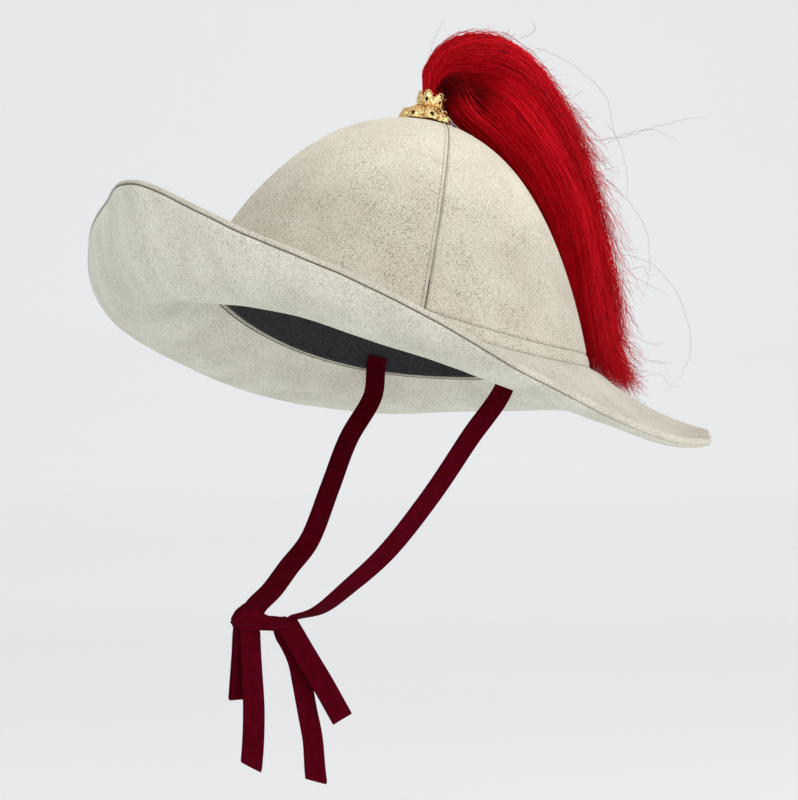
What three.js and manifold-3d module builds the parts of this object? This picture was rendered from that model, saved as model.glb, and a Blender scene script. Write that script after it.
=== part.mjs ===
// Felt hat with a rolled brim, a gold finial with a red hair plume, and a chin ribbon tied in a bow.
// Millimetres, +Z up. The wearer faces -X, and the wearer's left is -Y.
// The origin is the middle of the head opening, where the hat sits.
import * as THREE from 'three';
import { mergeVertices } from 'three/addons/utils/BufferGeometryUtils.js';
import { RoundedBoxGeometry } from 'three/addons/geometries/RoundedBoxGeometry.js';
import Module from 'manifold-3d';

const wasm = await Module();
wasm.setup();

// Head opening, measured at the seam where the crown meets the brim
const HALF_LONG = 104;
const HALF_WIDE = 89;
const SEAM_SWAY = 7.9;
const HAT_PITCH_DEG = 13.7;

// Felt walls and the clearance between sewn pieces
const CROWN_FELT = 2.2;
const BRIM_FELT = 1.8;
const GAP = 0.3;

// Crown
const CROWN_HEIGHT = 112;
const CROWN_SIDE = 0.93;
const CROWN_CREST = 1.85;
const CROWN_FRONT_FULL = 0.45;
const PANEL_SEAM_DEG = 76.5;
const PANEL_COLUMNS = 10;
const PANEL_ROWS = 9;
const PANEL_TOP = 0.994;
const BAND_TOP = 0.137;
const BAND_GAP_CLIMB = 0.006;
const BAND_FOOT = 2.8;

// Sweatband
const SWEATBAND_TOP = 0.27;
const SWEATBAND_FELT = 1;
const SWEATBAND_INSET = GAP + CROWN_FELT + 3 * GAP;
const SWEATBAND_FOOT = 2.2;

// Brim
const RING_STEPS = 56;
const BRIM_LIP = 2.7;
const BRIM_NOSE = 0.8;
const BRIM_BEND_SHARE = 0.6;
const BRIM_STATIONS = [0, 0.1, 0.25, 0.4, 0.55, 0.7, 0.86];

// One row for each section of the brim, every 22.5 degrees from the back, past the wearer's left,
// to the front and on past the right: reach out from the seam, rise of the edge above the seam,
// and dip of the section's middle below the seam.
const BRIM_SECTIONS = [
  { reach: 77.5, rise: -13.5, dip: 9 },
  { reach: 66, rise: -20.5, dip: 17.5 },
  { reach: 69.5, rise: -29, dip: 27 },
  { reach: 72.5, rise: -30.5, dip: 24 },
  { reach: 74, rise: -21.5, dip: 21.5 },
  { reach: 74, rise: -7, dip: 20 },
  { reach: 79, rise: 0.5, dip: 20.5 },
  { reach: 72.5, rise: 14, dip: 25.5 },
  { reach: 53.5, rise: 14, dip: 26 },
  { reach: 61.5, rise: 6, dip: 26.5 },
  { reach: 77.5, rise: -10, dip: 22 },
  { reach: 72.5, rise: -16.5, dip: 23 },
  { reach: 73, rise: -17, dip: 22 },
  { reach: 70, rise: -12, dip: 18 },
  { reach: 65, rise: -4, dip: 12 },
  { reach: 65, rise: -5, dip: 8 },
];

// Finial
const FINIAL_FORWARD = 10.5;
const FINIAL_SINK = 1.3;
const FINIAL_LEAN_DEG = -6.5;
const CAP_RADIUS = 14;
const CAP_HEIGHT = 7;
const CAP_PETALS = 8;
const CAP_SCALLOP = 1.1;
const CUP_RADIUS = 7.6;
const CUP_WAIST = 4.2;
const CUP_HEIGHT = 10;
const CUP_PETALS = 6;
const CUP_FLARE = 0.9;
const METAL = 1.2;
const CAP_HOLE = 1.3;
const CUP_HOLE = 1.2;
const FINIAL_STEPS = 24;

// Plume: one row for each station along the hair, on the hat's middle plane
const PLUME_LOCK_SIDES = 5;
const PLUME_STATIONS = [
  { x: 17.8, z: 122, thick: 8.4, wide: 8.4 },
  { x: 18.6, z: 127.8, thick: 8.8, wide: 8.8 },
  { x: 22, z: 134, thick: 18, wide: 17 },
  { x: 31.3, z: 136, thick: 38, wide: 28 },
  { x: 48, z: 135.3, thick: 51, wide: 35 },
  { x: 60, z: 130, thick: 53, wide: 38 },
  { x: 72.5, z: 118.5, thick: 50, wide: 39 },
  { x: 84.5, z: 102, thick: 44, wide: 39 },
  { x: 94, z: 83.5, thick: 38, wide: 38 },
  { x: 102, z: 62, thick: 33, wide: 38 },
  { x: 111, z: 27, thick: 29, wide: 38 },
  { x: 117.5, z: -3, thick: 26, wide: 38 },
  { x: 124.5, z: -19, thick: 23, wide: 36 },
];

// Ribbon
const RIBBON_WIDE = 11;
const RIBBON_THICK = 1;

// Chin run on the wearer's left, one row for each bend. The outer face looks sideways; lean tips it
// down, and turn swings it towards the back.
const CHIN_RUN = [
  { x: 21, y: -80, z: -29.3, lean: 3, turn: 12 },
  { x: 4.4, y: -76, z: -54, lean: 10, turn: 8 },
  { x: -10.8, y: -66, z: -81.1, lean: 20, turn: 4 },
  { x: -28, y: -52, z: -108.6, lean: 30, turn: 0 },
  { x: -41.4, y: -38, z: -125.6, lean: 42, turn: 0 },
  { x: -49.6, y: -15.5, z: -139.6, lean: 62, turn: 0 },
  { x: -57.4, y: -3.2, z: -143.7, lean: 74, turn: 0 },
];

// The right run takes the same way, but its last bends reach the knot from above
const CHIN_END_RIGHT = [
  { x: -46, y: -36, z: -122, lean: 40, turn: 0 },
  { x: -61, y: -20, z: -132, lean: 48, turn: 0 },
  { x: -73.4, y: -7.8, z: -138.2, lean: 50, turn: 0 },
];
const CHIN_STEPS = 26;

// Sewn end of the chin run inside the sweatband, from the top stitch down to the seam
const SEWN_TURN_DEG = 105;
const SEWN_INSET = SWEATBAND_INSET + SWEATBAND_FELT + 3 * GAP + RIBBON_THICK / 2;
const SEWN_END = [
  { climb: 0.12, lean: -14, turn: 13 },
  { climb: 0, lean: -4, turn: 13 },
];

// Bow, seen from the wearer's left: turn swings a piece's face about the upright axis
const KNOT = { x: -73, y: 0, z: -144, long: 30, deep: 9, tall: 10, round: 3 };
const BOW_TAIL_FRONT = [
  { x: -77.5, y: -2.4, z: -149.7, lean: 0, turn: 6 },
  { x: -78.4, y: -3.2, z: -162.6, lean: 0, turn: 10 },
  { x: -77.6, y: -4, z: -176.6, lean: 0, turn: 6 },
  { x: -77.1, y: -3.6, z: -194, lean: 0, turn: -4 },
  { x: -78.1, y: -3, z: -207.8, lean: 0, turn: -8 },
  { x: -79, y: -2.6, z: -217, lean: 0, turn: -10 },
];
const BOW_TAIL_BACK = [
  { x: -65.5, y: 1.6, z: -152.2, lean: 0, turn: 0 },
  { x: -62, y: 2.2, z: -157.6, lean: 0, turn: 0 },
  { x: -55, y: 2.6, z: -167, lean: 0, turn: 4 },
  { x: -51.8, y: 2.4, z: -178, lean: 0, turn: 8 },
  { x: -48.6, y: 1.6, z: -192, lean: 0, turn: 8 },
  { x: -45.8, y: 1, z: -206, lean: 0, turn: 4 },
  { x: -44.4, y: 1.2, z: -222, lean: 0, turn: -4 },
  { x: -43.6, y: 1.4, z: -228, lean: 0, turn: -6 },
];
const BOW_LOOP_FRONT = [
  { x: -81.5, y: 1.5, z: -150.3, lean: 0, turn: 10 },
  { x: -83.6, y: 1.8, z: -160, lean: 0, turn: 16 },
  { x: -84, y: 2.4, z: -170, lean: 0, turn: 20 },
  { x: -84.4, y: 2.8, z: -181, lean: 0, turn: 22 },
];
const BOW_LOOP_BACK = [
  { x: -62.2, y: -2, z: -152.8, lean: 0, turn: 0 },
  { x: -57, y: -2.8, z: -157, lean: 0, turn: 0 },
  { x: -48.6, y: -4, z: -165, lean: 0, turn: -6 },
  { x: -41, y: -4.4, z: -178, lean: 0, turn: -10 },
  { x: -31.8, y: -4.4, z: -194, lean: 0, turn: -12 },
];
const LOOP_PART = 2;
const TAIL_SLANT = -2.4;
const BOW_STEPS = 14;

const FELT_CREAM = new THREE.MeshStandardMaterial({ color: 0xd6cfbf, roughness: 0.95, metalness: 0 });
const FELT_DARK = new THREE.MeshStandardMaterial({ color: 0x1d1c20, roughness: 0.9, metalness: 0 });
const GOLD = new THREE.MeshStandardMaterial({ color: 0xd9a93c, roughness: 0.3, metalness: 1 });
const HAIR_RED = new THREE.MeshStandardMaterial({ color: 0xb0101e, roughness: 0.6, metalness: 0 });
const RIBBON_WINE = new THREE.MeshStandardMaterial({ color: 0x55030f, roughness: 0.85, metalness: 0 });

const radians = THREE.MathUtils.degToRad;

// Closed skin over a row of outlines with equal point counts; a loop joins the last outline to the first.
// Opposite points of an outline are i and count - 1 - i, which closes the two ends as strips.
function skin(outlines, loop) {
  const count = outlines[0].length;
  const position = outlines.flat().flatMap((p) => [p.x, p.y, p.z]);
  const index = [];
  const last = loop ? outlines.length : outlines.length - 1;
  for (let k = 0; k < last; k += 1) {
    const here = k * count;
    const next = ((k + 1) % outlines.length) * count;
    for (let i = 0; i < count; i += 1) {
      const j = (i + 1) % count;
      index.push(here + i, here + j, next + j, here + i, next + j, next + i);
    }
  }
  if (!loop) {
    const end = (outlines.length - 1) * count;
    for (let i = 0; i < count / 2 - 1; i += 1) {
      const a = count - 1 - i;
      const b = count - 2 - i;
      index.push(i, a, i + 1, i + 1, a, b);
      index.push(end + i, end + i + 1, end + a, end + i + 1, end + b, end + a);
    }
  }
  const geometry = new THREE.BufferGeometry();
  geometry.setAttribute('position', new THREE.Float32BufferAttribute(position, 3));
  geometry.setIndex(index);
  return facingOut(geometry);
}

// Turns every triangle round when the closed skin encloses a negative volume
function facingOut(geometry) {
  const p = geometry.attributes.position;
  const index = geometry.index.array;
  const corner = [new THREE.Vector3(), new THREE.Vector3(), new THREE.Vector3()];
  let volume = 0;
  for (let t = 0; t < index.length; t += 3) {
    corner.forEach((v, i) => v.fromBufferAttribute(p, index[t + i]));
    volume += corner[0].dot(corner[1].clone().cross(corner[2]));
  }
  if (volume < 0) {
    const turned = [];
    for (let t = 0; t < index.length; t += 3) {
      turned.push(index[t], index[t + 2], index[t + 1]);
    }
    geometry.setIndex(turned);
  }
  return geometry;
}

function toSolid(geometry) {
  const bare = geometry.clone();
  bare.deleteAttribute('normal');
  bare.deleteAttribute('uv');
  const merged = mergeVertices(bare, 1e-4);
  const mesh = new wasm.Mesh({
    numProp: 3,
    vertProperties: new Float32Array(merged.attributes.position.array),
    triVerts: new Uint32Array(merged.index.array),
  });
  return new wasm.Manifold(mesh);
}

function fromSolid(solid) {
  const mesh = solid.getMesh();
  const geometry = new THREE.BufferGeometry();
  geometry.setAttribute('position', new THREE.BufferAttribute(new Float32Array(mesh.vertProperties), 3));
  geometry.setIndex(new THREE.BufferAttribute(new Uint32Array(mesh.triVerts), 1));
  return geometry;
}

function addPiece(group, name, geometry, material) {
  const mesh = new THREE.Mesh(geometry, material);
  mesh.name = name;
  group.add(mesh);
  return mesh;
}

// Point of the crown: turn goes round from the front towards the wearer's right, climb goes from 0
// at the seam to 1 at the top, and inset shrinks the dome. The crown is fuller at the front.
function domePoint(turn, climb, inset, drop = 0) {
  const lift = Math.sin((climb * Math.PI) / 2) ** CROWN_CREST;
  const front = ((1 + Math.cos(turn)) / 2) ** 2;
  const bow = lift ** (1 / (CROWN_CREST - CROWN_FRONT_FULL * front));
  const spread = Math.sqrt(1 - bow * bow) ** CROWN_SIDE;
  const sway = SEAM_SWAY * Math.cos(2 * turn) * (1 - lift);
  return new THREE.Vector3(
    -(HALF_LONG - inset) * spread * Math.cos(turn),
    (HALF_WIDE - inset) * spread * Math.sin(turn),
    (CROWN_HEIGHT - inset) * lift + sway - drop,
  );
}

// One felt panel between two seams, with half the seam's clearance on each side
function crownPanel(fromTurn, toTurn) {
  const outlines = [];
  for (let row = 0; row <= PANEL_ROWS; row += 1) {
    const start = BAND_TOP + BAND_GAP_CLIMB;
    const climb = start + ((PANEL_TOP - start) * row) / PANEL_ROWS;
    const outer = [];
    const inner = [];
    const from = domePoint(fromTurn, climb, GAP);
    const to = domePoint(toTurn, climb, GAP);
    const fromShift = Math.asin(GAP / 2 / Math.hypot(from.x, from.y));
    const toShift = Math.asin(GAP / 2 / Math.hypot(to.x, to.y));
    for (let column = 0; column <= PANEL_COLUMNS; column += 1) {
      const share = column / PANEL_COLUMNS;
      const turn = THREE.MathUtils.lerp(fromTurn + fromShift, toTurn - toShift, share);
      outer.push(domePoint(turn, climb, GAP));
      inner.unshift(domePoint(turn, climb, GAP + CROWN_FELT));
    }
    outlines.push([...outer, ...inner]);
  }
  return skin(outlines, false);
}

// Ring of felt that follows the foot of the crown
function crownRing(inset, felt, top, foot) {
  const outlines = [];
  for (let k = 0; k < RING_STEPS; k += 1) {
    const turn = (k / RING_STEPS) * Math.PI * 2;
    outlines.push([
      domePoint(turn, 0, inset, foot),
      domePoint(turn, 0, inset),
      domePoint(turn, top, inset),
      domePoint(turn, top, inset + felt),
      domePoint(turn, 0, inset + felt),
      domePoint(turn, 0, inset + felt, foot),
    ]);
  }
  return skin(outlines, true);
}

// Smooth value of one column of the brim's sections at any turn
function brimValue(column, turn) {
  const rows = BRIM_SECTIONS.length;
  const place = ((turn / (Math.PI * 2) + 0.5) * rows + rows) % rows;
  const at = Math.floor(place);
  const t = place - at;
  const [a, b, c, d] = [-1, 0, 1, 2].map((i) => BRIM_SECTIONS[(at + i + rows) % rows][column]);
  return b + 0.5 * t * (c - a + t * (2 * a - 5 * b + 4 * c - d + t * (3 * (b - c) + d - a)));
}

// Section of the brim at one turn: the middle line is a curve with one bend, and each layer lies
// between two offsets from it. Offsets at the seam are upright, so the layers meet the crown square.
function brimSection(turn) {
  const reach = brimValue('reach', turn);
  const rise = brimValue('rise', turn);
  const dip = brimValue('dip', turn);
  const bend = new THREE.Vector2(BRIM_BEND_SHARE * reach, -2 * dip - rise / 2);
  const curve = new THREE.QuadraticBezierCurve(new THREE.Vector2(0, 0), bend, new THREE.Vector2(reach, rise));
  const root = domePoint(turn, 0, 0);
  const outward = new THREE.Vector3(-HALF_WIDE * Math.cos(turn), HALF_LONG * Math.sin(turn), 0).normalize();
  const length = curve.getLength();
  const at = (station, offset, ahead = 0) => {
    const middle = curve.getPoint(station);
    const along = curve.getTangent(station);
    const up = station === 0
      ? new THREE.Vector2(0, 1 / along.x)
      : new THREE.Vector2(-along.y, along.x);
    const flat = middle.addScaledVector(up, offset).addScaledVector(along, ahead);
    return root.clone().addScaledVector(outward, flat.x).add(new THREE.Vector3(0, 0, flat.y));
  };
  return { at, lip: 1 - BRIM_LIP / length, hem: 1 - (BRIM_LIP + GAP) / length };
}

const LAYER_NEAR = GAP / 2;
const LAYER_FAR = GAP / 2 + BRIM_FELT;

function brimTop() {
  const outlines = [];
  for (let k = 0; k < RING_STEPS; k += 1) {
    const { at, lip } = brimSection((k / RING_STEPS) * Math.PI * 2);
    outlines.push([
      ...BRIM_STATIONS.map((s) => at(s, LAYER_FAR)),
      at(1, LAYER_FAR),
      at(1, 0, BRIM_NOSE),
      at(1, -LAYER_FAR),
      at(lip, -LAYER_FAR),
      at(lip, LAYER_NEAR),
      ...BRIM_STATIONS.toReversed().map((s) => at(s, LAYER_NEAR)),
    ]);
  }
  return skin(outlines, true);
}

function brimUnder() {
  const outlines = [];
  for (let k = 0; k < RING_STEPS; k += 1) {
    const { at, hem } = brimSection((k / RING_STEPS) * Math.PI * 2);
    outlines.push([
      ...BRIM_STATIONS.map((s) => at(s, -LAYER_FAR)),
      at(hem, -LAYER_FAR),
      at(hem, -LAYER_NEAR),
      ...BRIM_STATIONS.toReversed().map((s) => at(s, -LAYER_NEAR)),
    ]);
  }
  return skin(outlines, true);
}

// Petalled shell turned about +Z: rows of radius, height and scallop depth, with a wall of metal
function petalledShell(rows, petals) {
  const outlines = [];
  for (let k = 0; k < FINIAL_STEPS; k += 1) {
    const turn = (k / FINIAL_STEPS) * Math.PI * 2;
    const petal = Math.abs(Math.cos((petals * turn) / 2));
    outlines.push(rows.map(({ radius, height, scallop }) => {
      const r = radius - scallop * (1 - petal);
      return new THREE.Vector3(r * Math.cos(turn), r * Math.sin(turn), height);
    }));
  }
  return toSolid(skin(outlines, true));
}

// Round drill through a wall, pointing outwards at one turn and height
function drill(turn, height, radius, from, to, climbDeg) {
  const rod = new THREE.CylinderGeometry(radius, radius, to - from, 6);
  rod.rotateZ(-Math.PI / 2);
  rod.translate((from + to) / 2, 0, 0);
  rod.rotateY(radians(-climbDeg));
  rod.rotateZ(turn);
  rod.translate(0, 0, height);
  return toSolid(rod);
}

function finial() {
  const cap = petalledShell([
    { radius: CAP_RADIUS, height: 0, scallop: 2 * CAP_SCALLOP },
    { radius: CAP_RADIUS * 0.95, height: CAP_HEIGHT * 0.5, scallop: 1.5 * CAP_SCALLOP },
    { radius: CAP_RADIUS * 0.78, height: CAP_HEIGHT * 0.9, scallop: CAP_SCALLOP },
    { radius: CUP_WAIST, height: CAP_HEIGHT, scallop: 0 },
    { radius: CUP_WAIST - METAL, height: CAP_HEIGHT - METAL, scallop: 0 },
    { radius: CAP_RADIUS * 0.74, height: CAP_HEIGHT * 0.9 - METAL, scallop: CAP_SCALLOP },
    { radius: CAP_RADIUS - METAL, height: 0, scallop: 2 * CAP_SCALLOP },
  ], CAP_PETALS);
  const foot = CAP_HEIGHT - METAL;
  const cup = petalledShell([
    { radius: CUP_WAIST, height: foot, scallop: 0 },
    { radius: CUP_RADIUS, height: foot + CUP_HEIGHT * 0.5, scallop: CUP_FLARE },
    { radius: CUP_RADIUS * 0.96, height: foot + CUP_HEIGHT, scallop: CUP_FLARE },
    { radius: CUP_RADIUS * 0.96 - METAL, height: foot + CUP_HEIGHT, scallop: CUP_FLARE },
    { radius: CUP_RADIUS - METAL, height: foot + CUP_HEIGHT * 0.54, scallop: CUP_FLARE },
    { radius: CUP_WAIST - METAL, height: foot + METAL, scallop: 0 },
  ], CUP_PETALS);
  let solid = cap.add(cup);
  for (let k = 0; k < CAP_PETALS; k += 1) {
    const turn = (k / CAP_PETALS) * Math.PI * 2;
    const hole = drill(turn, CAP_HEIGHT * 0.32, CAP_HOLE, CAP_RADIUS * 0.5, CAP_RADIUS * 1.2, 10);
    solid = solid.subtract(hole);
  }
  for (let k = 0; k < CUP_PETALS; k += 1) {
    const turn = (k / CUP_PETALS) * Math.PI * 2;
    const hole = drill(turn, foot + CUP_HEIGHT * 0.55, CUP_HOLE, CUP_RADIUS * 0.5, CUP_RADIUS * 1.3, 0);
    solid = solid.subtract(hole);
  }
  return fromSolid(solid);
}

// Hair plume: locks side by side and one over another, all fused at the head in the cup
function plume() {
  const middle = new THREE.CatmullRomCurve3(PLUME_STATIONS.map((s) => new THREE.Vector3(s.x, 0, s.z)));
  const last = PLUME_STATIONS.length - 1;
  const lock = (layer, side) => {
    const outlines = PLUME_STATIONS.map((station, k) => {
      const along = middle.getTangent(k / last);
      const out = new THREE.Vector3(-along.z, 0, along.x);
      const across = new THREE.Vector3(0, 1, 0);
      const draw = layer !== 0 && side !== 0 ? 0.2 : 0.27;
      const centre = new THREE.Vector3(station.x, 0, station.z)
        .addScaledVector(out, layer * station.thick * draw)
        .addScaledVector(across, side * station.wide * draw)
        .addScaledVector(along, k === last ? -3 * Math.abs(side) - 2 * (1 - layer) : 0);
      const tip = k === last ? 0.45 : 1;
      const outline = [];
      for (let i = 0; i < PLUME_LOCK_SIDES * 2; i += 2) {
        const turn = (i / (PLUME_LOCK_SIDES * 2)) * Math.PI * 2 + layer + 2 * side;
        outline.push(centre.clone()
          .addScaledVector(out, Math.sin(turn) * station.thick * 0.25 * tip)
          .addScaledVector(across, Math.cos(turn) * station.wide * 0.25 * tip));
      }
      return outline;
    });
    return toSolid(fanSkin(outlines));
  };
  let solid = null;
  for (const layer of [-1, 0, 1]) {
    for (const side of [-1, 0, 1]) {
      const next = lock(layer, side);
      solid = solid ? solid.add(next) : next;
    }
  }
  return fromSolid(solid);
}

// Closed skin over round outlines, its two ends closed by fans about their middles
function fanSkin(outlines) {
  const count = outlines[0].length;
  const rows = outlines.length;
  const middle = (outline) => outline.reduce((sum, p) => sum.add(p), new THREE.Vector3()).divideScalar(count);
  const points = [...outlines.flat(), middle(outlines[0]), middle(outlines[rows - 1])];
  const index = [];
  for (let k = 0; k < rows - 1; k += 1) {
    for (let i = 0; i < count; i += 1) {
      const j = (i + 1) % count;
      const here = k * count;
      const next = here + count;
      index.push(here + i, here + j, next + j, here + i, next + j, next + i);
    }
  }
  const end = (rows - 1) * count;
  for (let i = 0; i < count; i += 1) {
    const j = (i + 1) % count;
    index.push(rows * count, j, i);
    index.push(rows * count + 1, end + i, end + j);
  }
  const geometry = new THREE.BufferGeometry();
  const position = points.flatMap((p) => [p.x, p.y, p.z]);
  geometry.setAttribute('position', new THREE.Float32BufferAttribute(position, 3));
  geometry.setIndex(index);
  return facingOut(geometry);
}

// Flat ribbon along stations of place and face; slant trims the last end at an angle
function ribbon(stations, slant = 0) {
  const outlines = stations.map(({ place, face }, k) => {
    const before = stations[Math.max(k - 1, 0)].place;
    const after = stations[Math.min(k + 1, stations.length - 1)].place;
    const along = after.clone().sub(before).normalize();
    const across = along.clone().cross(face).normalize();
    const out = across.clone().cross(along).normalize();
    const cut = k === stations.length - 1 ? slant : 0;
    const corner = (side, height) => place.clone()
      .addScaledVector(across, (side * RIBBON_WIDE) / 2)
      .addScaledVector(out, (height * RIBBON_THICK) / 2)
      .addScaledVector(along, side * cut);
    return [corner(-1, -1), corner(1, -1), corner(1, 1), corner(-1, 1)];
  });
  return skin(outlines, false);
}

// Even stations along table rows; lean and turn in degrees set the outer face
function stationsAlong(rows, steps, side = 1) {
  const path = new THREE.CatmullRomCurve3(rows.map((r) => new THREE.Vector3(r.x, r.y, r.z)));
  const stations = [];
  for (let k = 0; k <= steps; k += 1) {
    const share = k / steps;
    const spot = share * (rows.length - 1);
    const at = Math.min(Math.floor(spot), rows.length - 2);
    const [row, next] = [rows[at], rows[at + 1]];
    const angle = (column) => radians(THREE.MathUtils.lerp(row[column], next[column], spot - at));
    const face = new THREE.Vector3(0, -side, 0);
    face.applyAxisAngle(new THREE.Vector3(side, 0, 0), angle('lean'));
    face.applyAxisAngle(new THREE.Vector3(0, 0, side), angle('turn'));
    stations.push({ place: path.getPoint(share), face });
  }
  return stations;
}

function chinRun(side) {
  const sewn = SEWN_END.map(({ climb, lean, turn }) => {
    const place = domePoint(-radians(SEWN_TURN_DEG), climb, SEWN_INSET);
    place.applyAxisAngle(new THREE.Vector3(0, 1, 0), radians(HAT_PITCH_DEG));
    return { x: place.x, y: place.y, z: place.z, lean, turn };
  });
  const run = side > 0 ? CHIN_RUN : [...CHIN_RUN.slice(0, -CHIN_END_RIGHT.length), ...CHIN_END_RIGHT];
  const rows = [...sewn, ...run].map((r) => ({ ...r, y: r.y * side }));
  return ribbon(stationsAlong(rows, CHIN_STEPS, side));
}

function bowTail(rows, slant) {
  return ribbon(stationsAlong(rows, BOW_STEPS), slant);
}

// Folded loop: down on the near layer, round the fold, and back up on the far layer
function bowLoop(rows) {
  const down = stationsAlong(rows, BOW_STEPS);
  const near = down.map(({ place, face }) => (
    { place: place.clone().addScaledVector(face, LOOP_PART / 2), face }
  ));
  const far = down.map(({ place, face }) => (
    { place: place.clone().addScaledVector(face, -LOOP_PART / 2), face: face.clone().negate() }
  ));
  const end = down[down.length - 1];
  const along = end.place.clone().sub(down[down.length - 2].place).normalize();
  const fold = [30, 60, 90, 120, 150].map((degrees) => {
    const swing = radians(degrees);
    const face = end.face.clone().multiplyScalar(Math.cos(swing)).addScaledVector(along, Math.sin(swing));
    return { place: end.place.clone().addScaledVector(face, LOOP_PART / 2), face };
  });
  return ribbon([...near, ...fold, ...far.toReversed()]);
}

const hat = new THREE.Group();

const worn = new THREE.Group();
worn.rotation.y = radians(HAT_PITCH_DEG);
hat.add(worn);

const side = radians(PANEL_SEAM_DEG);
addPiece(worn, 'crown_panel_front_left', crownPanel(-side, 0), FELT_CREAM);
addPiece(worn, 'crown_panel_front_right', crownPanel(0, side), FELT_CREAM);
addPiece(worn, 'crown_panel_back_left', crownPanel(-Math.PI, -side), FELT_CREAM);
addPiece(worn, 'crown_panel_back_right', crownPanel(side, Math.PI), FELT_CREAM);
addPiece(worn, 'crown_band', crownRing(GAP, CROWN_FELT, BAND_TOP, BAND_FOOT), FELT_CREAM);
const band = crownRing(SWEATBAND_INSET, SWEATBAND_FELT, SWEATBAND_TOP, SWEATBAND_FOOT);
addPiece(worn, 'sweatband', band, FELT_DARK);
addPiece(worn, 'brim_top', brimTop(), FELT_CREAM);
addPiece(worn, 'brim_under', brimUnder(), FELT_CREAM);

const ornament = addPiece(worn, 'finial', finial(), GOLD);
ornament.rotation.y = radians(FINIAL_LEAN_DEG);
ornament.position.set(-FINIAL_FORWARD, 0, CROWN_HEIGHT - FINIAL_SINK);
addPiece(hat, 'plume', plume(), HAIR_RED);

addPiece(hat, 'chin_ribbon_left', chinRun(1), RIBBON_WINE);
addPiece(hat, 'chin_ribbon_right', chinRun(-1), RIBBON_WINE);

const knot = new RoundedBoxGeometry(KNOT.long, KNOT.deep, KNOT.tall, 2, KNOT.round);
const tied = addPiece(hat, 'bow_knot', knot, RIBBON_WINE);
tied.position.set(KNOT.x, KNOT.y, KNOT.z);
addPiece(hat, 'bow_tail_front', bowTail(BOW_TAIL_FRONT, TAIL_SLANT), RIBBON_WINE);
addPiece(hat, 'bow_tail_back', bowTail(BOW_TAIL_BACK, TAIL_SLANT), RIBBON_WINE);
addPiece(hat, 'bow_loop_front', bowLoop(BOW_LOOP_FRONT), RIBBON_WINE);
addPiece(hat, 'bow_loop_back', bowLoop(BOW_LOOP_BACK), RIBBON_WINE);

export default hat;
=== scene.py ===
import math
from collections import namedtuple
from functools import lru_cache

import bmesh
import bpy
import numpy as np
from mathutils import Matrix, Vector, noise


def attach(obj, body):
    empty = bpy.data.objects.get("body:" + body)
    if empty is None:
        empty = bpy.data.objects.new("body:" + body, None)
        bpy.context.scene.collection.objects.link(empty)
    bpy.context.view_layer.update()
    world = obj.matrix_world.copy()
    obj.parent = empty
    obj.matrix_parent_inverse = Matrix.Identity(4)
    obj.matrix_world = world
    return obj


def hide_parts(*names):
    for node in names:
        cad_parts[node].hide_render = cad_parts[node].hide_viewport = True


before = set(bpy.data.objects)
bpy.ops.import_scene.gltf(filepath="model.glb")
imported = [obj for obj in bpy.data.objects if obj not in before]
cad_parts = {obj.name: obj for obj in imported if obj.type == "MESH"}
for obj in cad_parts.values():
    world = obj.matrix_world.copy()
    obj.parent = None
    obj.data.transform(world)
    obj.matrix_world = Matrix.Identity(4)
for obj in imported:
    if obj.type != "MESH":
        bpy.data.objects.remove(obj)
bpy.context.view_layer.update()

# Head opening and crown
HALF_LONG = 0.104
HALF_WIDE = 0.089
SEAM_SWAY = 0.0079
WORN_PITCH = math.radians(13.7)
WORN_TILT = Matrix.Rotation(WORN_PITCH, 3, "Y")
CROWN_HEIGHT = 0.112
CROWN_SIDE = 0.93
CROWN_CREST = 1.85
CROWN_FRONT_FULL = 0.45
CROWN_FELT = 0.0022
GAP = 0.0003
SIDE_SEAM = math.radians(76.5)
CROWN_PANELS = {
    "crown_panel_front_left": (-SIDE_SEAM, 0),
    "crown_panel_front_right": (0, SIDE_SEAM),
    "crown_panel_back_left": (-math.pi, -SIDE_SEAM),
    "crown_panel_back_right": (SIDE_SEAM, math.pi),
}
PANEL_FOOT = 0.1405
PANEL_TOP = 0.994
PANEL_COLUMNS = 60
PANEL_ROWS = 104
PANEL_ROW_PACE = 1.35
SEAM_ZONE = 0.006
SEAM_ZONE_SHARE = 0.3
TOPSTITCH_IN = 0.0020
# Distance from the seam, spread and rise of the felt: turned in, padded, then pulled down by the stitches
SEAM_SHAPE = [(0, 0.0005, -0.0009), (0.0011, 0.0005, 0.0003), (TOPSTITCH_IN, 0.00035, -0.0003)]
FOOT_ROLL = 0.0006
FOOT_ROLL_CLIMB = 0.008
HEM_TOP = 0.139
HEM_FULL = 0.0006
HEM_TUCK = 0.0007
HEM_TUCK_SHARE = 0.06
HEM_FOOT = 0.0028
HEM_SHARES = (0, 0.03, 0.08, 0.16, 0.28, 0.42, 0.56, 0.7, 0.82, 0.9, 0.95, 0.98, 1)
RING_AROUND = 240

# Unevenness of hand-made felt
CROWN_SWELL = 0.0004
BRIM_SWELL = 0.0007
SWELL_PACE = 22
RIPPLE_PACE = 75
RIPPLE_SHARE = 0.35

# Sweatband
SWEATBAND_TOP = 0.27
SWEATBAND_FELT = 0.001
SWEATBAND_INSET = GAP + CROWN_FELT + 3 * GAP
SWEATBAND_FOOT = 0.0022

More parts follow.
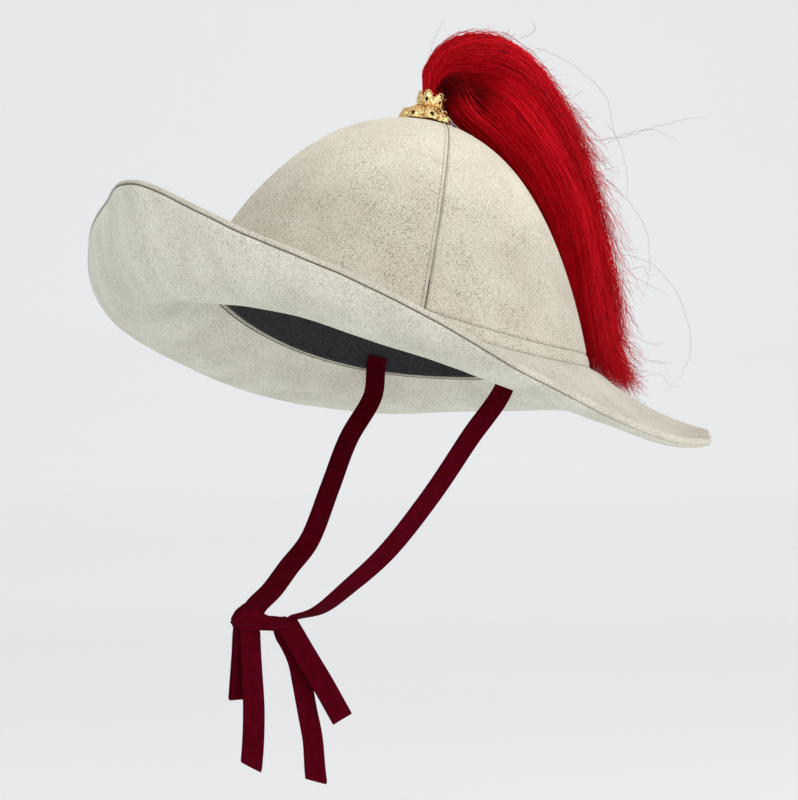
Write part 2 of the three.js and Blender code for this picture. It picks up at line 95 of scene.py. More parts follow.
# Brim, with a reach, rise and dip for each section, every 22.5 degrees from the back past the wearer's left
BRIM_REACH, BRIM_RISE, BRIM_DIP = zip(
    (0.0775, -0.0135, 0.009), (0.066, -0.0205, 0.0175), (0.0695, -0.029, 0.027), (0.0725, -0.0305, 0.024),
    (0.074, -0.0215, 0.0215), (0.074, -0.007, 0.020), (0.079, 0.0005, 0.0205), (0.0725, 0.014, 0.0255),
    (0.0555, 0.0138, 0.026), (0.0615, 0.006, 0.0265), (0.0775, -0.010, 0.022), (0.0725, -0.0165, 0.023),
    (0.073, -0.017, 0.022), (0.070, -0.012, 0.018), (0.065, -0.004, 0.012), (0.065, -0.005, 0.008),
)
BRIM_BEND_SHARE = 0.6
BRIM_FELT = 0.0018
BRIM_AROUND = 320
BRIM_NOSE = 0.0015
BRIM_LENGTH_STEPS = 20
BACK_BRIM_DEGREES = range(60, -61, -8)
BACK_BRIM_STEPS = 23
BRIM_STEPS = [
    0, 0.008, 0.016, 0.03, 0.06, 0.1, 0.15, 0.2, 0.26, 0.32, 0.39, 0.46, 0.53, 0.6, 0.67, 0.74, 0.8,
    0.86, 0.91,
]
LAYER_NEAR = GAP / 2
LAYER_FAR = GAP / 2 + BRIM_FELT
ROOT_TUCK = 0.001
ROOT_TUCK_RUN = 0.0025
ROOT_SINK = 0.0009
ROOT_SINK_RUN = 0.005
# Way back from the edge and depth in the felt, for both sides of the hem line under the edge
HEM_OVER = [(-0.0005, 0.0003), (-0.0001, 0.00055), (0.0001, 0.0009), (0.00015, 0.0016)]
HEM_UNDER = [
    (0.0030, 0), (0.0018, 0.00004), (0.0012, 0.00018), (0.0008, 0.00045), (0.00062, 0.0009), (0.0006, 0.0016),
]

# Threads and stitches
HEM_THREAD_AROUND = 480
HEM_THREAD_SIDES = 5
HEM_THREAD_THIN = 0.00017
HEM_THREAD_FULL = 0.00013
HEM_THREAD_DEEP = 0.00075
HEM_THREAD_BACK = 0.00035
STITCH_THICK = 0.00042
SEAM_STITCHES = 54
SEAM_STITCH_CLIMB = 0.79
SEAM_STITCH_SHARE = 0.74
FOOT_STITCHES = 230
FOOT_STITCH_SHARE = 0.6
FOOT_STITCH_SINK = 0.0004

# Finial
FINIAL_PLACE = Vector((-0.0105, 0, CROWN_HEIGHT - 0.0013))
FINIAL_LEAN = Matrix.Rotation(math.radians(-6.5), 3, "Y")
METAL = 0.0012
CAP_RADIUS = 0.014
CAP_HEIGHT = 0.007
CAP_PETALS = 8
CAP_SCALLOP = 0.0011
CAP_PHASE = math.radians(-7.5)
CAP_HOLE = 0.0013
CAP_AROUND = 216
CAP_UP = 34
CUP_RADIUS = 0.0076
CUP_WAIST = 0.0042
CUP_FOOT = CAP_HEIGHT - METAL
CUP_HEIGHT = 0.010
CUP_PETALS = 6
CUP_FLARE = 0.0009
CUP_NOTCH = 0.0030
CUP_BACK = 0.0019
CUP_LEAN = Matrix.Rotation(math.radians(8), 3, "Y")
CUP_PHASE = math.radians(-14)
CUP_HOLE = 0.0011
CUP_AROUND = 168
CUP_UP = 30
GOLD_GRAIN = 0.0006
GOLD_GRAIN_PACE = 880
GOLD_GRAIN_LEVEL = 0.55
RIB_APART = 0.11
RIB_THICK = 0.0012

# Plume, one row for each station along the hair on the hat's middle plane: x, z, thickness and width
PLUME_STATIONS = [
    (0.0198, 0.1220, 0.0084, 0.0084), (0.0208, 0.1278, 0.0092, 0.0092), (0.0234, 0.1340, 0.018, 0.017),
    (0.0313, 0.1360, 0.038, 0.028), (0.0480, 0.1353, 0.051, 0.035), (0.0600, 0.1300, 0.053, 0.038),
    (0.0725, 0.1185, 0.050, 0.039), (0.0845, 0.1020, 0.044, 0.040), (0.0940, 0.0835, 0.038, 0.041),
    (0.1020, 0.0620, 0.033, 0.042), (0.1095, 0.0270, 0.033, 0.044), (0.1130, -0.0030, 0.031, 0.045),
    (0.1185, -0.0215, 0.029, 0.043),
]
PLUME_FINE_STEPS = 241
DENT_AT = 0.3
DENT_RUN = 0.1
DENT_DEEP = 0.5
CORE_AROUND = 28
CORE_STEPS = 64
CORE_FILL = 0.76
CORE_TAPER_FROM = 0.66
CORE_TAPER_RUN = 0.232

# Hair; shares are of the plume's run, half thickness or half width, and a pair is a range to draw from
HAIR_PIECES = 4
HAIR_STRANDS = 1350
HAIR_STEPS = 16
HAIR_STEP_PACE = 1.2
HAIR_FINE_STEPS = 56
HAIR_THICK = 0.00038
HAIR_PAST = 0.16
HAIR_CLEAR = 0.0008
HAIR_SEED = 40
HAIR_SPREAD = 0.11
HAIR_SWING = 0.055
HAIR_WAVE_PACE = (8, 26)
HAIR_FINENESS = (0.65, 1.2)
HAIR_TONE_SPREAD = 0.11
STRAY_SHARE = 0.12
STRAY_SWING = 0.13
STRAY_LIMIT = 1.12
HAIR_LOCKS = 360
LOCK_SEED = 7
LOCK_SWAY = 0.07
LOCK_SWAY_PACE = 11
LOCK_STOP = 0.007
LOCK_TONE_SPREAD = 0.07
END_FLARE = 0.3
END_FLARE_FROM = 0.88
END_FLARE_RUN = 0.2
END_RAGGED = 0.004
STRAND_SIDE = (0.31, 0.87, 0.38)
STRAND_TAPER = [0, 0.05, 0.75, 1], [0.7, 1, 0.85, 0.12]
# Painted shade and light on the hair, as strength, then middle and spread or start and run along the plume
HOLLOW_PAINTED_SHADE = (1.2, 0.24, 0.15)
UNDER_PAINTED_SHADE = (0.3, 0.2, 0.2)
CREST_PAINTED_SHADE = (0.36, 0.2, 0.14)
END_PAINTED_LIGHT = (0.3, 0.82, 0.15)
DARKEST_PAINTED_SHADE = 0.96
SHORT_STEP = 38
SHORT_CUT = (0.55, 0.97)
FRAY_HAIRS = 1250
FRAY_SEED = 23
FRAY_RUN = (0.05, 0.15)
FRAY_FROM = (0.5, 1.0)
FRAY_REACH = (0.9, 1.12)
FRAY_SPRING = (0, 0.42)
FRAY_WAVE_LONG = (0.005, 0.010)
FRAY_WAVE_DEEP = (0.0003, 0.0010)
FRAY_FINENESS = (0.9, 1.6)
FRAY_TONES = (0.12, 0.7)
FLYAWAYS = 640
FLYAWAY_STEPS = 12
FLYAWAY_SEED = 11
FLYAWAY_FROM = 0.14
FLYAWAY_THICK = 0.00018
FLYAWAY_LIFT = (0.1, 0.9)
FLYAWAY_REACH = (0.004, 0.018)
FLYAWAY_KINK = 0.09
FLYAWAY_SIDE = (0.2, 0.9, 0.3)
FLYAWAY_FINENESS = (0.8, 1.3)
FLYAWAY_TONES = (0.1, 0.6)
UNDER_WISPS = 260
WISP_SEED = 31
WISP_WAVE = 0.0007
WISP_FINENESS = (0.6, 1.0)
WISP_TONES = (0.15, 0.72)
# Painted shade and light along each under wisp: dark in the hollow near the cup, lighter below it
WISP_LIT = [0, 0.36, 0.52, 1], [0.05, 0.08, 1.0, 0.8]
UNDER_WISP_RUN = [
    (0.0205, 0.126), (0.0245, 0.1300), (0.0290, 0.1255), (0.0325, 0.1185), (0.0385, 0.1125),
    (0.050, 0.1045), (0.064, 0.092),
]
LONG_HAIR_STEPS = 40
LONG_HAIR_SEED = 5
LONG_HAIR_SHIVER = 0.0003
LONG_HAIR_TONE = 0.2
LONG_HAIR_ASIDE = -0.008
# Long single hairs, as x and z where a hair keeps to one plane, or x, y and z
LONG_HAIRS = [
    [(0.079, 0.154), (0.0945, 0.150), (0.110, 0.142), (0.122, 0.1305), (0.1265, 0.1145), (0.129, 0.1075)],
    [(0.1005, -0.018, 0.1055), (0.118, -0.020, 0.1065), (0.134, -0.022, 0.111), (0.150, -0.022, 0.1165),
     (0.165, -0.022, 0.121), (0.180, -0.022, 0.1235)],
    [(0.1145, -0.020, 0.104), (0.126, -0.022, 0.1095), (0.1385, -0.022, 0.113), (0.1485, -0.022, 0.112),
     (0.1595, -0.022, 0.1075)],
    [(0.1215, 0.118), (0.130, 0.1075), (0.1345, 0.0915), (0.1355, 0.076)],
    [(0.117, 0.090), (0.1345, 0.0775), (0.146, 0.0625), (0.1495, 0.046), (0.148, 0.0315), (0.1435, 0.021)],
    [(0.1265, 0.0475), (0.1395, 0.0455), (0.153, 0.0405), (0.1665, 0.028), (0.174, 0.013),
     (0.1765, -0.0015), (0.1715, -0.017), (0.158, -0.0285)],
    [(0.128, 0.038), (0.1345, 0.037), (0.148, 0.0305), (0.163, 0.0255)],
    [(0.0145, 0.1315), (0.015, 0.141), (0.018, 0.153), (0.0245, 0.164)],
    [(0.068, 0.158), (0.0745, 0.161), (0.0775, 0.1645), (0.0745, 0.1695)],
    [(0.133, 0.006), (0.143, 0.0005), (0.153, -0.002), (0.1595, -0.0005)],
    [(0.1345, -0.0025), (0.1435, -0.008), (0.153, -0.012), (0.1645, -0.0115)],
]

# Ribbon rows: x, y, z, then degrees of lean, tipping the outer face down, and of turn towards the back
RibbonRow = namedtuple("RibbonRow", "x y z lean turn")
RIBBON_WIDE = 0.011
RIBBON_THICK = 0.001
RIBBON_EDGE = [
    (-0.5, -0.3), (-0.47, -0.5), (-0.25, -0.46), (0, -0.44), (0.25, -0.46), (0.47, -0.5), (0.5, -0.3),
    (0.5, 0.3), (0.47, 0.5), (0.25, 0.46), (0, 0.44), (-0.25, 0.46), (-0.47, 0.5), (-0.5, 0.3),
]
SEWN_TURN = math.radians(105)
SEWN_INSET = SWEATBAND_INSET + SWEATBAND_FELT + 3 * GAP + RIBBON_THICK / 2
SEWN_END = [(0.12, -14, 13), (0.0, -4, 13)]
CHIN_RUN = [
    (0.0210, -0.0800, -0.0293, 3, 12), (0.0044, -0.0760, -0.0540, 10, 8),
    (-0.0108, -0.0660, -0.0811, 20, 4), (-0.0280, -0.0520, -0.1086, 30, 0),
]
CHIN_END_LEFT = [
    (-0.0414, -0.0380, -0.1256, 42, 0), (-0.0496, -0.0155, -0.1396, 62, 0),
    (-0.0574, -0.0032, -0.1437, 74, 0), (-0.0635, -0.0005, -0.1462, 80, 0),
]
CHIN_END_RIGHT = [
    (-0.0460, -0.0360, -0.1220, 40, 0), (-0.0610, -0.0200, -0.1320, 48, 0),
    (-0.0734, -0.0078, -0.1382, 50, 0), (-0.0785, -0.0020, -0.1425, 40, 0),
]
BOW_TAIL_FRONT = [
    (-0.0790, -0.0018, -0.1455, 0, 4), (-0.0800, -0.0023, -0.1505, 0, 6), (-0.0798, -0.0030, -0.1600, 0, 10),
    (-0.0794, -0.0035, -0.1700, 0, 8), (-0.0786, -0.0036, -0.1880, 0, -2), (-0.0788, -0.0032, -0.2040, 0, -8),
    (-0.0796, -0.0026, -0.2170, 0, -10),
]
BOW_TAIL_BACK = [
    (-0.0635, 0.0014, -0.1455, 0, 0), (-0.0610, 0.0018, -0.1510, 0, 0), (-0.0570, 0.0022, -0.1575, 0, 0),
    (-0.0532, 0.0026, -0.1660, 0, 4), (-0.0508, 0.0024, -0.1780, 0, 8), (-0.0484, 0.0016, -0.1920, 0, 8),
    (-0.0458, 0.0010, -0.2060, 0, 4), (-0.0444, 0.0012, -0.2220, 0, -4), (-0.0436, 0.0014, -0.2280, 0, -6),
]
BOW_LOOP_FRONT = [
    (-0.0815, 0.0012, -0.1455, 0, 6), (-0.0822, 0.0015, -0.1503, 0, 10), (-0.0828, 0.0018, -0.1600, 0, 16),
    (-0.0835, 0.0024, -0.1700, 0, 20), (-0.0844, 0.0028, -0.1825, 0, 22),
]
BOW_LOOP_BACK = [
    (-0.0615, -0.0016, -0.1455, 0, 0), (-0.0585, -0.0022, -0.1505, 0, 0), (-0.0545, -0.0030, -0.1575, 0, -2),
    (-0.0492, -0.0038, -0.1665, 0, -6), (-0.0422, -0.0044, -0.1780, 0, -10),
    (-0.0324, -0.0044, -0.1950, 0, -12),
]
CHIN_STEPS = 130
TAIL_STEPS = 80
LOOP_STEPS = 50
LOOP_PART = 0.002
TAIL_SLANT = -0.0024
TAIL_CUT_FROM = 0.93
TAIL_ROUND = 0.09
TAIL_ROUND_FROM = 0.975
BOW_GATHER = 0.62
BOW_GATHER_SHARE = 0.16
KNOT_MIDDLE = Vector((-0.0732, 0, -0.144))
KNOT_HALF_LONG = 0.0152
KNOT_HALF_DEEP = 0.0044
KNOT_FULL = 0.0005
KNOT_FOLD = 0.0003
KNOT_UNEVEN = 0.0003
KNOT_UNEVEN_PACE = 300
KNOT_AROUND = 120
KNOT_ROWS_UP = 14
KNOT_X, KNOT_TOP, KNOT_BOTTOM = zip(
    (-0.0884, -0.1425, -0.1465), (-0.0850, -0.1390, -0.1490), (-0.0810, -0.1362, -0.1493),
    (-0.0775, -0.1380, -0.1492), (-0.0745, -0.1402, -0.1491), (-0.0705, -0.1424, -0.1495),
    (-0.0675, -0.1432, -0.1500), (-0.0605, -0.1438, -0.1484), (-0.0580, -0.1442, -0.1468),
)

# Wool felts: pale and deep ground, fleck, share of flecks, grain, flecks left at the top, painted shade at
# the foot
FELTS = {
    "crown_felt": (
        (0.84, 0.775, 0.635, 1), (0.76, 0.69, 0.55, 1), (0.19, 0.168, 0.128, 1), 0.9, 0.22, 0.3, 0.78,
    ),
    # Painted shade: the brim top's ground colours are a darkened copy of the brim's felt, so its upward face
    # looks no brighter under the light from above
    "brim_top_felt": (
        (0.67, 0.615, 0.513, 1), (0.57, 0.525, 0.43, 1), (0.22, 0.20, 0.158, 1), 0.8, 0.24, 1, 1,
    ),
    "brim_under_felt": (
        (0.81, 0.785, 0.673, 1), (0.705, 0.68, 0.572, 1), (0.27, 0.257, 0.212, 1), 0.8, 0.26, 1, 1,
    ),
}
FIBRE_BROWN = (0.30, 0.26, 0.20, 1)
THREADS = {
    # Seam thread: a real thread, coloured darker as painted shade for the groove it lies in
    "seam_shadow_thread": (0.21, 0.19, 0.15, 1),
    "foot_thread": (0.36, 0.33, 0.265, 1),
    # Hem thread: a real thread, coloured dark as painted shade that deepens the shadow of the hem line's
    # groove
    "hem_shadow_thread": (0.15, 0.135, 0.11, 1),
}
# Noise of each felt pattern: pace, detail, distortion and stretch
FELT_CLOUDS = (45, 4)
FELT_SPECKLE = (1900, 2, 0.3)
FELT_PEPPER = (1600, 2, 0.4)
PEPPER_CLOUDS = (60, 3)
FELT_FIBRES = (800, 2, 0.8, (1, 1, 0.3))
FELT_NAP = (1100, 4, 1.0)

# Camera, at the photograph's viewing angle
CAMERA_TURN = math.radians(24)
CAMERA_AWAY = 0.8
CAMERA_LEVEL = -0.0549
CAMERA_ASIDE = 0.00145
CAMERA_LENS = 69.6
CAMERA_RISE = 0.05

# Studio
FLOOR_LEVEL = -0.46
SWEEP_HALF_WIDE = 4
SWEEP_LINE = [(-2.5, 0.0), (1.6, 0.0), (2.1, 0.06), (2.5, 0.25), (2.75, 0.6), (2.85, 1.1), (2.9, 3.2)]
STUDIO_WHITE = (0.90, 0.905, 0.905, 1)
STUDIO_AIR = (0.965, 0.98, 1.0, 1)
STUDIO_AIR_STRENGTH = 0.8
# Place, size and power of each light
LIGHTS = {
    "key_light": ((-0.75, -1.55, 0.85), 1.5, 12.5),
    "top_light": ((0.1, -0.2, 1.9), 1.8, 4),
    "fill_light": ((1.3, -1.05, 0.0), 1.2, 10),
}


# Curves

def bell(value, middle, spread):
    """One at the middle, fading to nothing on both sides."""
    return np.exp(-((value - middle) / spread) ** 2)


def rising(value, start, run):
    """Nothing before the start, one after the run."""
    return np.clip((value - start) / run, 0, 1)


def smooth_between(a, b, c, d, t):
    """Smooth value from b to c, with a and d as the rows beyond them."""
    return b + 0.5 * t * (c - a + t * (2 * a - 5 * b + 4 * c - d + t * (3 * (b - c) + d - a)))


def curve_value(rows, share):
    """Smooth value between evenly spaced rows."""
    spot = share * (len(rows) - 1)
    at = min(int(spot), len(rows) - 2)
    return smooth_between(*(rows[min(max(at + i, 0), len(rows) - 1)] for i in (-1, 0, 1, 2)), spot - at)


def curve_points(rows, steps):
    """Points at even steps along a curve through rows of coordinates."""
    columns = list(zip(*rows))
    return np.array([[curve_value(column, k / (steps - 1)) for column in columns] for k in range(steps)])


def felt_swell(point, deep=CROWN_SWELL):
    """Slow hand-felted unevenness of a felt surface."""
    return deep * (noise.noise(point * SWELL_PACE) + RIPPLE_SHARE * noise.noise(point * RIPPLE_PACE))


# Meshes

def mesh_of(name, bm):
    mesh = bpy.data.meshes.new(name)
    bm.to_mesh(mesh)
    bm.free()
    return mesh


def link_mesh(name, mesh, paint):
    """Smooth object of one mesh and one finish."""
    for face in mesh.polygons:
        face.use_smooth = True
    mesh.materials.append(paint)
    piece = bpy.data.objects.new(name, mesh)
    bpy.context.scene.collection.objects.link(piece)
    return piece


def place_mesh(name, mesh, paint, nodes=()):
    """Piece that rides on the hat and stands for the named solids."""
    piece = link_mesh(name, mesh, paint)
    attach(piece, "root")
    if nodes:
        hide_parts(*nodes)
    return piece


def finish_piece(name, bm, paint, nodes=()):
    return place_mesh(name, mesh_of(name, bm), paint, nodes)


def laid_grid(around, along, place):
    """Grid of squares whose corners go where place(u, v) puts them; edges that meet are joined."""
    bm = bmesh.new()
    bm.loops.layers.uv.new("UVMap")
    bmesh.ops.create_grid(bm, x_segments=around, y_segments=along, size=0.5, calc_uvs=True)
    for corner in bm.verts:
        corner.co = place(corner.co.x + 0.5, corner.co.y + 0.5)
    bmesh.ops.remove_doubles(bm, verts=bm.verts, dist=1e-6)
    bmesh.ops.recalc_face_normals(bm, faces=bm.faces)
    return bm


def close_ends(bm):
    """Closes the open ends of a laid tube."""
    rims = [edge for edge in bm.edges if edge.is_boundary]
    bmesh.ops.holes_fill(bm, edges=rims, sides=0)
    bmesh.ops.recalc_face_normals(bm, faces=bm.faces)


def thicken(bm, middle, thick):
    """Turns a skin's faces away from a middle and gives it a wall on the inside."""
    if sum(face.normal.dot(face.calc_center_median() - middle) for face in bm.faces) < 0:
        bmesh.ops.reverse_faces(bm, faces=bm.faces)
    bmesh.ops.solidify(bm, geom=bm.faces, thickness=thick)


def ring_piece(name, nodes, outline, paint, around=RING_AROUND):
    """Closed ring whose outline at each turn is a list of points."""
    rings = [outline(k / around * math.tau) for k in range(around)]
    count = len(rings[0])

    def place(u, v):
        return rings[round(u * around) % around][round(v * count) % count]

    finish_piece(name, laid_grid(around, count, place), paint, nodes)


# Crown

def dome_spread(turn, lift):
    """Share of the opening's size that the crown still has at one lift; it is fuller at the front."""
    front = ((1 + np.cos(turn)) / 2) ** 2
    bow = lift ** (1 / (CROWN_CREST - CROWN_FRONT_FULL * front))
    return np.maximum(1 - bow * bow, 0) ** (CROWN_SIDE / 2)


def dome_lift(climb):
    return math.sin(climb * math.pi / 2) ** CROWN_CREST


def dome_point(turn, climb, inset, drop=0.0):
    lift = dome_lift(climb)
    spread = dome_spread(turn, lift)
    sway = SEAM_SWAY * math.cos(2 * turn) * (1 - lift)
    return WORN_TILT @ Vector((
        -(HALF_LONG - inset) * spread * math.cos(turn),
        (HALF_WIDE - inset) * spread * math.sin(turn),
        (CROWN_HEIGHT - inset) * lift + sway - drop,
    ))


def girth(turn, climb):
    """Distance from the crown's upright axis, which sets how wide a panel is at one climb."""
    across = math.hypot((HALF_LONG - GAP) * math.cos(turn), (HALF_WIDE - GAP) * math.sin(turn))
    return dome_spread(turn, dome_lift(climb)) * across


def panel_spot(from_turn, to_turn, share, climb):
    """Turn and distance from the nearest seam at one share across a panel."""
    middle = (from_turn + to_turn) / 2
    half = (to_turn - from_turn) / 2 * girth(middle, climb) - GAP / 2
    zone = min(SEAM_ZONE, half * 0.5)
    near = min(share, 1 - share)
    if near < SEAM_ZONE_SHARE:
        edge = zone * near / SEAM_ZONE_SHARE
    else:
        edge = zone + (half - zone) * (near - SEAM_ZONE_SHARE) / (0.5 - SEAM_ZONE_SHARE)
    swing = (edge + GAP / 2) / girth(middle, climb)
    return (from_turn + swing if share <= 0.5 else to_turn - swing), edge


def panel_point(from_turn, to_turn, share, climb):
    """Point of a panel's felt, shaped by its seams, its rolled foot and the swell of the felt."""
    turn, edge = panel_spot(from_turn, to_turn, share, climb)
    seam = sum(rise * bell(edge, at, spread) for at, spread, rise in SEAM_SHAPE)
    foot = -FOOT_ROLL * bell(climb, PANEL_FOOT, FOOT_ROLL_CLIMB)
    return dome_point(turn, climb, GAP - seam - foot - felt_swell(dome_point(turn, climb, GAP)))


def crown_panel(node, paint):
    from_turn, to_turn = CROWN_PANELS[node]

    def place(u, v):
        climb = PANEL_FOOT + (PANEL_TOP - PANEL_FOOT) * v ** PANEL_ROW_PACE
        return panel_point(from_turn, to_turn, u, climb)

    bm = laid_grid(PANEL_COLUMNS, PANEL_ROWS, place)
    thicken(bm, Vector(), CROWN_FELT)
    finish_piece(f"{node}_felt", bm, paint, [node])


def band_piece(name, node, climbs, outer, inner, foot, paint):
    """Band on the crown between an outer inset, which may change as it climbs, and an inner one."""
    def outline(turn):
        return [
            dome_point(turn, 0, outer(0), foot),
            *(dome_point(turn, climb, outer(climb)) for climb in climbs),
            *(dome_point(turn, climb, inner) for climb in reversed(climbs)),
            dome_point(turn, 0, inner, foot),
        ]

    ring_piece(name, [node], outline, paint)


def crown_hem(paint):
    """Hem at the foot of the crown, full in the middle and tucked in along both edges."""
    def outer(climb):
        share = climb / HEM_TOP
        full = HEM_FULL * math.sin(math.pi * share) ** 0.7 if 0 < share < 1 else 0
        tuck = HEM_TUCK * (bell(share, 0, HEM_TUCK_SHARE) + bell(share, 1, HEM_TUCK_SHARE))
        return GAP - full + tuck

    climbs = [HEM_TOP * share for share in HEM_SHARES]
    band_piece("crown_hem", "crown_band", climbs, outer, GAP + CROWN_FELT, HEM_FOOT, paint)


def sweatband(paint):
    """Plain band inside the crown, which reaches a little below its foot."""
    climbs = [SWEATBAND_TOP * share for share in (0, 0.25, 0.5, 0.75, 1)]
    inner = SWEATBAND_INSET + SWEATBAND_FELT
    band_piece(
        "sweatband_cloth", "sweatband", climbs, lambda climb: SWEATBAND_INSET, inner, SWEATBAND_FOOT,
        paint,
    )


# Brim

def brim_value(column, turn):
    rows = len(column)
    spot = ((turn / math.tau + 0.5) * rows) % rows
    at = int(spot)
    return smooth_between(*(column[(at + i) % rows] for i in (-1, 0, 1, 2)), spot - at)


class BrimSection:
    """Section of the brim at one turn: its middle line has one bend, and layers lie at offsets from it."""

    def __init__(self, turn):
        reach, rise, dip = (brim_value(column, turn) for column in (BRIM_REACH, BRIM_RISE, BRIM_DIP))
        self.bend = Vector((BRIM_BEND_SHARE * reach, -2 * dip - rise / 2))
        self.end = Vector((reach, rise))
        self.root = dome_point(turn, 0, 0)
        out = Vector((-HALF_WIDE * math.cos(turn), HALF_LONG * math.sin(turn), 0)).normalized()
        self.outward = WORN_TILT @ out
        self.upward = WORN_TILT @ Vector((0, 0, 1))
        spots = [self.middle(k / BRIM_LENGTH_STEPS) for k in range(BRIM_LENGTH_STEPS + 1)]
        self.length = sum((b - a).length for a, b in zip(spots, spots[1:]))

    def middle(self, s):
        return 2 * s * (1 - s) * self.bend + s * s * self.end

    def along(self, s):
        return ((1 - 2 * s) * self.bend + s * self.end).normalized()

    def at(self, s, offset, ahead=0.0):
        along = self.along(s)
        up = Vector((0, 1 / along.x)) if s == 0 else Vector((-along.y, along.x))
        flat = self.middle(s) + up * offset + along * ahead
        flat.y -= ROOT_SINK * bell(s * self.length, 0, ROOT_SINK_RUN)
        point = self.root + self.outward * flat.x + self.upward * flat.y
        return point + self.upward * felt_swell(point, BRIM_SWELL) * min(1, s * 4)


def brim_top(paint):
    """Upper felt layer, tucked in at the crown and turned over the edge as a rounded lip."""
    def outline(turn):
        section = BrimSection(turn)
        bends = [math.radians(degrees) for degrees in range(0, 151, 15)]

        def tucked(s):
            return LAYER_FAR - ROOT_TUCK * bell(s * section.length, 0, ROOT_TUCK_RUN)

        return [
            *(section.at(s, tucked(s)) for s in BRIM_STEPS),
            section.at(0.96, LAYER_FAR),
            *(section.at(1, LAYER_FAR * math.cos(bend), BRIM_NOSE * math.sin(bend)) for bend in bends),
            *(section.at(1, deep - LAYER_FAR, -back) for back, deep in HEM_OVER),
            section.at(0.98, LAYER_NEAR),
            *(section.at(s, LAYER_NEAR) for s in reversed(BRIM_STEPS[::3])),
        ]

    ring_piece("brim_top_felt", ["brim_top"], outline, paint, BRIM_AROUND)


def brim_under(paint):
    """Lower felt layer, which stops at the turned edge and leaves the hem line."""
    def outline(turn):
        section = BrimSection(turn)
        return [
            *(section.at(s, -LAYER_FAR) for s in BRIM_STEPS),
            *(section.at(1, deep - LAYER_FAR, -back) for back, deep in HEM_UNDER),
            section.at(0.97, -LAYER_NEAR),
            *(section.at(s, -LAYER_NEAR) for s in reversed(BRIM_STEPS[::3])),
        ]

    ring_piece("brim_under_felt", ["brim_under"], outline, paint, BRIM_AROUND)


def hem_shadow_thread(paint):
    """Thread sunk in the hem line, thick and thin by turns where it dives into the felt; it is dark as
    painted shade that deepens the hem line's shadow.
    """
    def outline(turn):
        section = BrimSection(turn)
        dive = 0.5 + 0.5 * math.cos(turn * HEM_THREAD_AROUND / 4)
        size = HEM_THREAD_THIN + HEM_THREAD_FULL * dive
        sides = [k / HEM_THREAD_SIDES * math.tau for k in range(HEM_THREAD_SIDES)]
        deep = HEM_THREAD_DEEP - LAYER_FAR
        return [
            section.at(1, deep + size * math.sin(side), size * math.cos(side) - HEM_THREAD_BACK)
            for side in sides
        ]

    ring_piece("hem_shadow_thread", [], outline, paint, HEM_THREAD_AROUND)


# Stitches

def lay_thread(bm, here, there, out, thick):
    """One short rounded length, laid from here to there on a surface that faces out."""
    along = (there - here).normalized()
    across = along.cross(out).normalized()
    turn = Matrix((along, across, along.cross(across))).transposed().to_4x4()
    size = Matrix.Diagonal(((there - here).length / 2, thick / 2, thick / 2, 1))
    place = Matrix.Translation((here + there) / 2) @ turn @ size
    bmesh.ops.create_uvsphere(bm, u_segments=6, v_segments=4, radius=1, matrix=place)


def stitch_row(bm, points, share):
    """Stitches along a row of surface points and outward directions, each a share of its step long."""
    for (here, out), (after, _) in zip(points, points[1:]):
        rest = (after - here) * (1 - share) / 2
        lay_thread(bm, here + rest, after - rest, out, STITCH_THICK)


def seam_stitches(paint):
    """Topstitching along one side of each panel seam."""
    bm = bmesh.new()
    middle = WORN_TILT @ Vector((0, 0, 0.03))
    near = SEAM_ZONE_SHARE * TOPSTITCH_IN / SEAM_ZONE
    climbs = [PANEL_FOOT + SEAM_STITCH_CLIMB * k / SEAM_STITCHES for k in range(SEAM_STITCHES + 1)]
    rows = [
        ("crown_panel_front_left", near), ("crown_panel_front_right", near),
        ("crown_panel_front_right", 1 - near), ("crown_panel_back_left", near),
    ]
    for panel, across in rows:
        spots = [panel_point(*CROWN_PANELS[panel], across, climb) for climb in climbs]
        stitch_row(bm, [(spot, (spot - middle).normalized()) for spot in spots], SEAM_STITCH_SHARE)
    finish_piece("seam_stitches", bm, paint)


def foot_stitches(paint):
    """Stitches that hold the crown to its hem."""
    bm = bmesh.new()
    spots = []
    for k in range(FOOT_STITCHES + 1):
        turn = k / FOOT_STITCHES * math.tau
        spot = dome_point(turn, (PANEL_FOOT + HEM_TOP) / 2, GAP + FOOT_STITCH_SINK)
        spots.append((spot, (spot - dome_point(turn, PANEL_FOOT, 0.01)).normalized()))
    stitch_row(bm, spots, FOOT_STITCH_SHARE)
    finish_piece("foot_stitches", bm, paint)


# Finial

def finial_point(radius, turn, height):
    spot = Vector((radius * math.cos(turn), radius * math.sin(turn), height))
    return WORN_TILT @ (FINIAL_PLACE + FINIAL_LEAN @ spot)


def cup_point(radius, turn, height):
    """Point of the cup, which stands a little behind the cap's middle and leans back."""
    spot = CUP_LEAN @ Vector((radius * math.cos(turn), radius * math.sin(turn), height - CAP_HEIGHT))
    return WORN_TILT @ (FINIAL_PLACE + FINIAL_LEAN @ (spot + Vector((CUP_BACK, 0, CAP_HEIGHT))))


def valley_share(turn, petals, phase):
    """Nothing in the middle of a petal and one in the valley between two."""
    return 1 - abs(math.cos(petals * (turn - phase) / 2))


